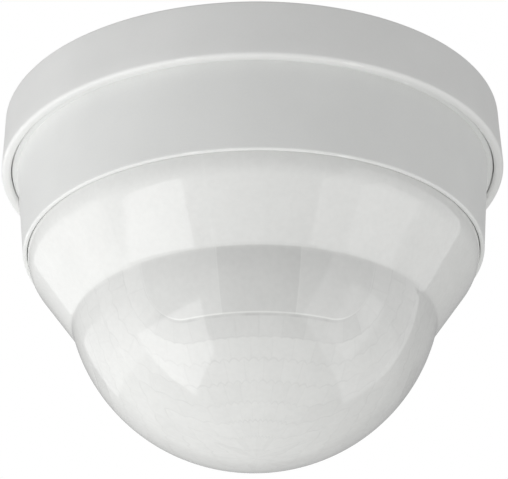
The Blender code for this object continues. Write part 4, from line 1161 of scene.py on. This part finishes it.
def make_ring():
    ring = turned("cover_ring_shell", ring_profile(), FINE)
    catch_r = (CATCH_R, (RING_INNER_R + WAIST[0]) / 2)
    catches = [sector(*catch_r, at - CATCH_HALF_ANGLE, at + CATCH_HALF_ANGLE) for at in TONGUE_ANGLES]
    joined(ring, slab("catches", catches, *CATCH_Z))
    notches = [(at, HOOK_HALF + 1.0) for at in LENS_HOOKS] + [(0.0, KEY_NOTCH_HALF_ANGLE)]
    outlines = [sector(SHELF_R - MM, LIP_INNER_R - GAP, at - half, at + half) for at, half in notches]
    return cut(ring, slab("notches", outlines, SHELF_Z[0] - MM, SHELF_Z[1] + MM))


def lens_surface(inset):
    """The lens from its collar to its tip, as (r, z), at a distance inside its outer face."""
    bend = SHOULDER_ROUND - inset
    radii = (DOME_R - inset, DOME_DEPTH - inset)
    shoulder = arc((COLLAR_R - SHOULDER_ROUND, SHOULDER_Z), bend, 0, CONE_ANGLE - 90, 12)
    r, z = shoulder[-1]
    run = 1 / math.tan(math.radians(CONE_ANGLE))
    level = r + (DOME_CENTRE_Z - z) * run  # the cone's radius at the height of the dome's middle
    a = (run / radii[0]) ** 2 + 1 / radii[1] ** 2
    b = 2 * level * run / radii[0] ** 2
    c = (level / radii[0]) ** 2 - 1
    drop = (math.sqrt(b * b - 4 * a * c) - b) / (2 * a)
    crease = (level + drop * run, DOME_CENTRE_Z + drop)  # where the cone runs into the dome
    start = math.degrees(math.asin(drop / radii[1]))
    cone = straight(shoulder[-1], crease, round(math.dist(shoulder[-1], crease) / LENS_STEP))
    turn = math.radians(90 + start)
    dome = arc((0.0, DOME_CENTRE_Z), radii, start, -90, round(radii[0] * turn / LENS_STEP))
    return [*shoulder[:-1], *cone, *dome[:-1], (0.0, DOME_CENTRE_Z - radii[1])]


def sweep_lens():
    """A closed shell between the outer face and an inner face whose facets stand in relief."""
    inner = [*reversed(lens_surface(LENS_WALL)), (COLLAR_R - LENS_WALL, LENS_TOP)]
    outer = [(COLLAR_R, LENS_TOP), *lens_surface(0.0)]
    shape = bmesh.new()
    rows = []
    for faceted, profile in ((False, outer), (True, inner)):
        for r, z in profile:
            steps = LENS_STEPS if r > 0 else 1
            row = []
            for i in range(steps):
                azimuth = 360 * i / LENS_STEPS
                drop = min(max((DOME_CENTRE_Z - z) / (DOME_DEPTH - LENS_WALL), -1.0), 1.0)
                shrink = 1.0
                if faceted and z < SHOULDER_Z - SHOULDER_ROUND / 2:
                    latitude = math.degrees(math.asin(drop))
                    shrink -= FACET_DEPTH * facet_relief(azimuth, latitude) / DOME_R
                angle = math.radians(azimuth)
                x, y = r * shrink * math.sin(angle), -r * shrink * math.cos(angle)
                row.append(shape.verts.new((x, y, DOME_CENTRE_Z + (z - DOME_CENTRE_Z) * shrink)))
            rows.append(row)
    rows.append(rows[0])
    for upper, lower in zip(rows, rows[1:]):
        if len(upper) == len(lower) == 1:
            continue
        for i in range(LENS_STEPS):
            ends = ((upper, i - 1), (upper, i), (lower, i), (lower, i - 1))
            corners = [row[at % len(row)] for row, at in ends]
            shape.faces.new(list(dict.fromkeys(corners)))
    return placed("domed_lens", kept_mesh(shape, "domed_lens"))


def make_lens():
    lens = sweep_lens()
    head_low = SHELF_Z[1] + GAP
    head_high = head_low + 1.2 * MM
    stems = [sector(*LENS_HOOK_R, at - HOOK_HALF, at + HOOK_HALF) for at in LENS_HOOKS]
    heads = [sector(*LENS_HOOK_R, at - HOOK_HEAD_HALF, at + HOOK_HEAD_HALF) for at in LENS_HOOKS]
    stems = slab("stems", stems, LENS_TOP - MM, head_high - EDGE)
    return joined(lens, stems, slab("heads", heads, head_low, head_high))


# Finishing the pieces


MATERIALS = {
    "box_plastic": moulded_plastic("box_white", (0.80, 0.803, 0.795), 0.42),
    "ring_plastic": moulded_plastic("ring_white", (0.79, 0.797, 0.788), 0.42),
    "lens_plastic": milky_lens(),
    "rubber_seal": soft_rubber("black_rubber", (0.035, 0.035, 0.036)),
    "chassis_plastic": moulded_plastic("chassis_grey", (0.56, 0.57, 0.57), 0.5),
    "inner_plastic": moulded_plastic("inner_white", (0.74, 0.75, 0.74), 0.5),
    "terminal_plastic": moulded_plastic("terminal_grey", (0.32, 0.35, 0.37), 0.5),
    "black_plastic": moulded_plastic("satin_black", (0.022, 0.022, 0.024), 0.38),
    "blue_dial": moulded_plastic("dial_blue", (0.06, 0.20, 0.45), 0.38),
    "orange_dial": moulded_plastic("dial_orange", (0.78, 0.26, 0.04), 0.38),
    "red_plastic": moulded_plastic("button_red", (0.65, 0.05, 0.04), 0.35),
    "circuit_board": lacquered_board("green_board"),
    "zinc_steel": plated_metal("bright_zinc", (0.62, 0.63, 0.65), 0.28, (1.0, 1.0, 6.0)),
    "can_metal": plated_metal("can_metal", (0.68, 0.66, 0.62), 0.22, (1.0, 1.0, 0.3)),
    "infrared_window": glossy_plastic("dark_window", (0.05, 0.045, 0.05), 0.10, Coat_Weight=0.3),
    "film_capacitor": glossy_plastic("film_yellow", (0.70, 0.52, 0.10), 0.3),
    "capacitor_sleeve": glossy_plastic("shrink_sleeve", (0.03, 0.035, 0.05), 0.2),
    "varistor_coat": glossy_plastic("dipped_blue", (0.05, 0.13, 0.42), 0.22, Coat_Weight=0.3),
    "led_resin": glossy_plastic(
        "red_resin", (0.65, 0.05, 0.04), 0.08, Transmission_Weight=0.35, Coat_Weight=0.5
    ),
    "clear_resin": glossy_plastic(
        "clear_resin", (0.45, 0.50, 0.58), 0.06, Transmission_Weight=0.45, Coat_Weight=0.5
    ),
}


def shown(piece, body, slot, node, material=None):
    """A finished piece: smooth, in its slot's material, on its body, standing for its node."""
    piece.data.shade_smooth()
    piece.data.set_sharp_from_angle(angle=SHARP)
    piece.data.materials.clear()
    piece.data.materials.append(material or MATERIALS[slot])
    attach(piece, body)
    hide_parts(node)


shown(make_gasket(), "box", "rubber_seal", "ceiling_gasket", soft_rubber("grey_foam", (0.06, 0.06, 0.062)))
for body, slot, node, make in (
    ("box", "box_plastic", "surface_mount_box", make_box),
    ("box", "rubber_seal", "cable_grommet", make_grommet),
    ("head", "chassis_plastic", "head_chassis", make_chassis),
    ("head", "terminal_plastic", "terminal_block", make_terminal_housing),
    ("head", "black_plastic", "relay", make_relay),
    ("head", "film_capacitor", "dropper_capacitor", make_film_capacitor),
    ("head", "capacitor_sleeve", "smoothing_capacitor", make_can_capacitor),
    ("head", "black_plastic", "fuse", make_fuse),
    ("head", "varistor_coat", "varistor", make_varistor),
    ("head", "black_plastic", "board_connector", make_header),
    ("head", "inner_plastic", "inner_cover", make_face_plate),
    ("head", "led_resin", "status_led", make_led),
    ("head", "black_plastic", "sensor_turret", make_turret),
    ("head", "clear_resin", "light_sensor", make_daylight_sensor),
    ("test_button", "red_plastic", "test_button", make_push_cap),
    ("cover", "ring_plastic", "cover_ring", make_ring),
    ("cover", "lens_plastic", "fresnel_lens", make_lens),
):
    shown(make(), body, slot, node)
for body, slot, node, make, name in (
    ("head", "circuit_board", "power_board", make_board, "mains_board"),
    ("head", "circuit_board", "sensor_board", make_board, "detector_board"),
    ("lux_dial", "blue_dial", "lux_dial", make_wheel, "lux_wheel"),
    ("time_dial", "orange_dial", "time_dial", make_wheel, "time_wheel"),
    *(("head", "zinc_steel", f"terminal_screw_{i}", slotted_screw, f"clamp_screw_{i}") for i in range(1, 5)),
    *(("head", "zinc_steel", f"head_screw_{i}", make_long_screw, f"long_screw_{i}") for i in range(1, 4)),
    *(("head", "inner_plastic", f"board_spacer_{i}", make_spacer, f"spacer_tube_{i}") for i in range(1, 4)),
):
    shown(make(name, node), body, slot, node)
for node, name, bore_r, bore_depth in (
    ("lux_dial_body", "lux_pot", 1.5 * MM, 1.1 * MM),
    ("time_dial_body", "time_pot", 1.5 * MM, 1.1 * MM),
    ("test_switch_body", "tact_switch", 2.0 * MM, 1.4 * MM),
):
    shown(make_small_body(name, node, bore_r, bore_depth), "head", "black_plastic", node)
for i, angle in enumerate(SENSOR_ANGLES, 1):
    shown(make_heat_can(f"infrared_can_{i}", angle), "head", "can_metal", f"heat_sensor_{i}")
    shown(make_heat_window(f"infrared_window_{i}", angle), "head", "infrared_window", f"heat_window_{i}")


# The studio

CENTRE = (cad_box[0] + cad_box[1]) / 2
ROOM_LIGHT = 0.375
FLOOR_Z = -1.5
FLOOR_SIZE = 14.0


def way(azimuth, elevation):
    """A direction from the object: azimuth 0 is its front, -Y, and 90 its +X side."""
    a, e = math.radians(azimuth), math.radians(elevation)
    return Vector((math.sin(a) * math.cos(e), -math.cos(a) * math.cos(e), math.sin(e)))


def softbox(name, place, facing, size, radiance, lights=True, mirrors=True, roll=0.0):
    """A soft rectangular lamp at a place from the object, whose back looks along a direction."""
    lamp = bpy.data.lights.new(name, "AREA")
    lamp.shape = "RECTANGLE"
    lamp.size, lamp.size_y = size
    lamp.energy = radiance * math.pi * size[0] * size[1]
    holder = bpy.data.objects.new(name, lamp)
    holder.location = CENTRE + place
    aim = facing.to_track_quat("Z", "Y").to_matrix() @ Matrix.Rotation(math.radians(roll), 3, "Z")
    holder.rotation_euler = aim.to_euler()
    holder.visible_camera = False
    holder.visible_diffuse = lights
    holder.visible_glossy = mirrors
    bpy.context.scene.collection.objects.link(holder)


def light_studio():
    """Broad light from the left, weaker light from the right, the front and above, a wash of light on the
    floor, and windows that only show as reflections in the lens."""
    for name, azimuth, elevation, distance, size, radiance in (
        ("key_left", -88.0, -32.0, 1.0, (1.75, 1.3), 1.27),
        ("fill_front", -10.0, -25.0, 1.5, (2.2, 1.6), 0.25),
        ("fill_right", 96.0, -20.0, 1.2, (1.3, 0.9), 0.52),
        ("sky_fill", 0.0, 78.0, 1.4, (2.4, 2.4), 0.27),
    ):
        direction = way(azimuth, elevation)
        softbox(name, direction * distance, direction, size, radiance, mirrors=False)
    above = Vector((0.0, 0.0, 1.0))
    softbox("floor_wash", above * -0.25, above, (12.0, 12.0), 0.42, mirrors=False)
    beside = Vector((-1.0, 0.0, 0.0))
    for name, place, size, radiance in (
        ("window_left", Vector((-0.6, -0.27, -0.81)), (0.86, 0.86), 1.8),
        ("window_behind", Vector((-0.6, 0.38, -0.12)), (0.95, 0.3), 0.55),
    ):
        softbox(name, place, beside, size, radiance, lights=False, roll=-18.0)
    for name, azimuth, elevation, size, radiance in (
        ("window_right", 84.0, -20.0, (1.6, 1.2), 0.9),
        ("window_pane", 76.0, -27.0, (0.5, 0.6), 0.7),
    ):
        right = way(azimuth, elevation)
        softbox(name, right, right, size, radiance, lights=False)


def make_world():
    """A pale room: white where the camera looks, dimmer as a source of light."""
    world = bpy.data.worlds.new("room")
    world.use_nodes = True
    bpy.context.scene.world = world
    tree = world.node_tree
    background = tree.nodes["Background"]
    path = tree.nodes.new("ShaderNodeLightPath")
    shade = tree.nodes.new("ShaderNodeMapRange")
    tree.links.new(path.outputs["Is Camera Ray"], shade.inputs["Value"])
    shade.inputs["To Min"].default_value = ROOM_LIGHT
    shade.inputs["To Max"].default_value = 1.0
    tree.links.new(shade.outputs[0], background.inputs["Strength"])
    background.inputs["Color"].default_value = (1.0, 1.0, 1.0, 1.0)


def make_floor():
    shape = bmesh.new()
    place = Matrix.Translation((0.0, 0.0, FLOOR_Z))
    bmesh.ops.create_grid(shape, x_segments=1, y_segments=1, size=FLOOR_SIZE / 2, matrix=place)
    floor = placed("floor", kept_mesh(shape, "floor"))
    floor.data.materials.append(moulded_plastic("pale_floor", (0.86, 0.86, 0.85), 0.7, 2 * MM))


CAMERA_BELOW = 26.746  # degrees below the level of the object
CAMERA_DISTANCE = 0.707
CAMERA_ROLL = -0.8
CAMERA_LENS = 250.7
LOOK_AT = Vector((0.10 * MM, 0.0, -25.9 * MM))


def make_camera():
    data = bpy.data.cameras.new("camera")
    data.lens = CAMERA_LENS
    data.sensor_width = 36.0
    camera = bpy.data.objects.new("camera", data)
    back = way(0.0, -CAMERA_BELOW)
    level = back.to_track_quat("Z", "Y").to_matrix().to_4x4()
    tilt = Matrix.Rotation(math.radians(CAMERA_ROLL), 4, "Z")
    camera.matrix_world = Matrix.Translation(LOOK_AT + back * CAMERA_DISTANCE) @ level @ tilt
    bpy.context.scene.collection.objects.link(camera)
    bpy.context.scene.camera = camera


bpy.context.scene.view_settings.view_transform = "Standard"
light_studio()
make_world()
make_floor()
make_camera()
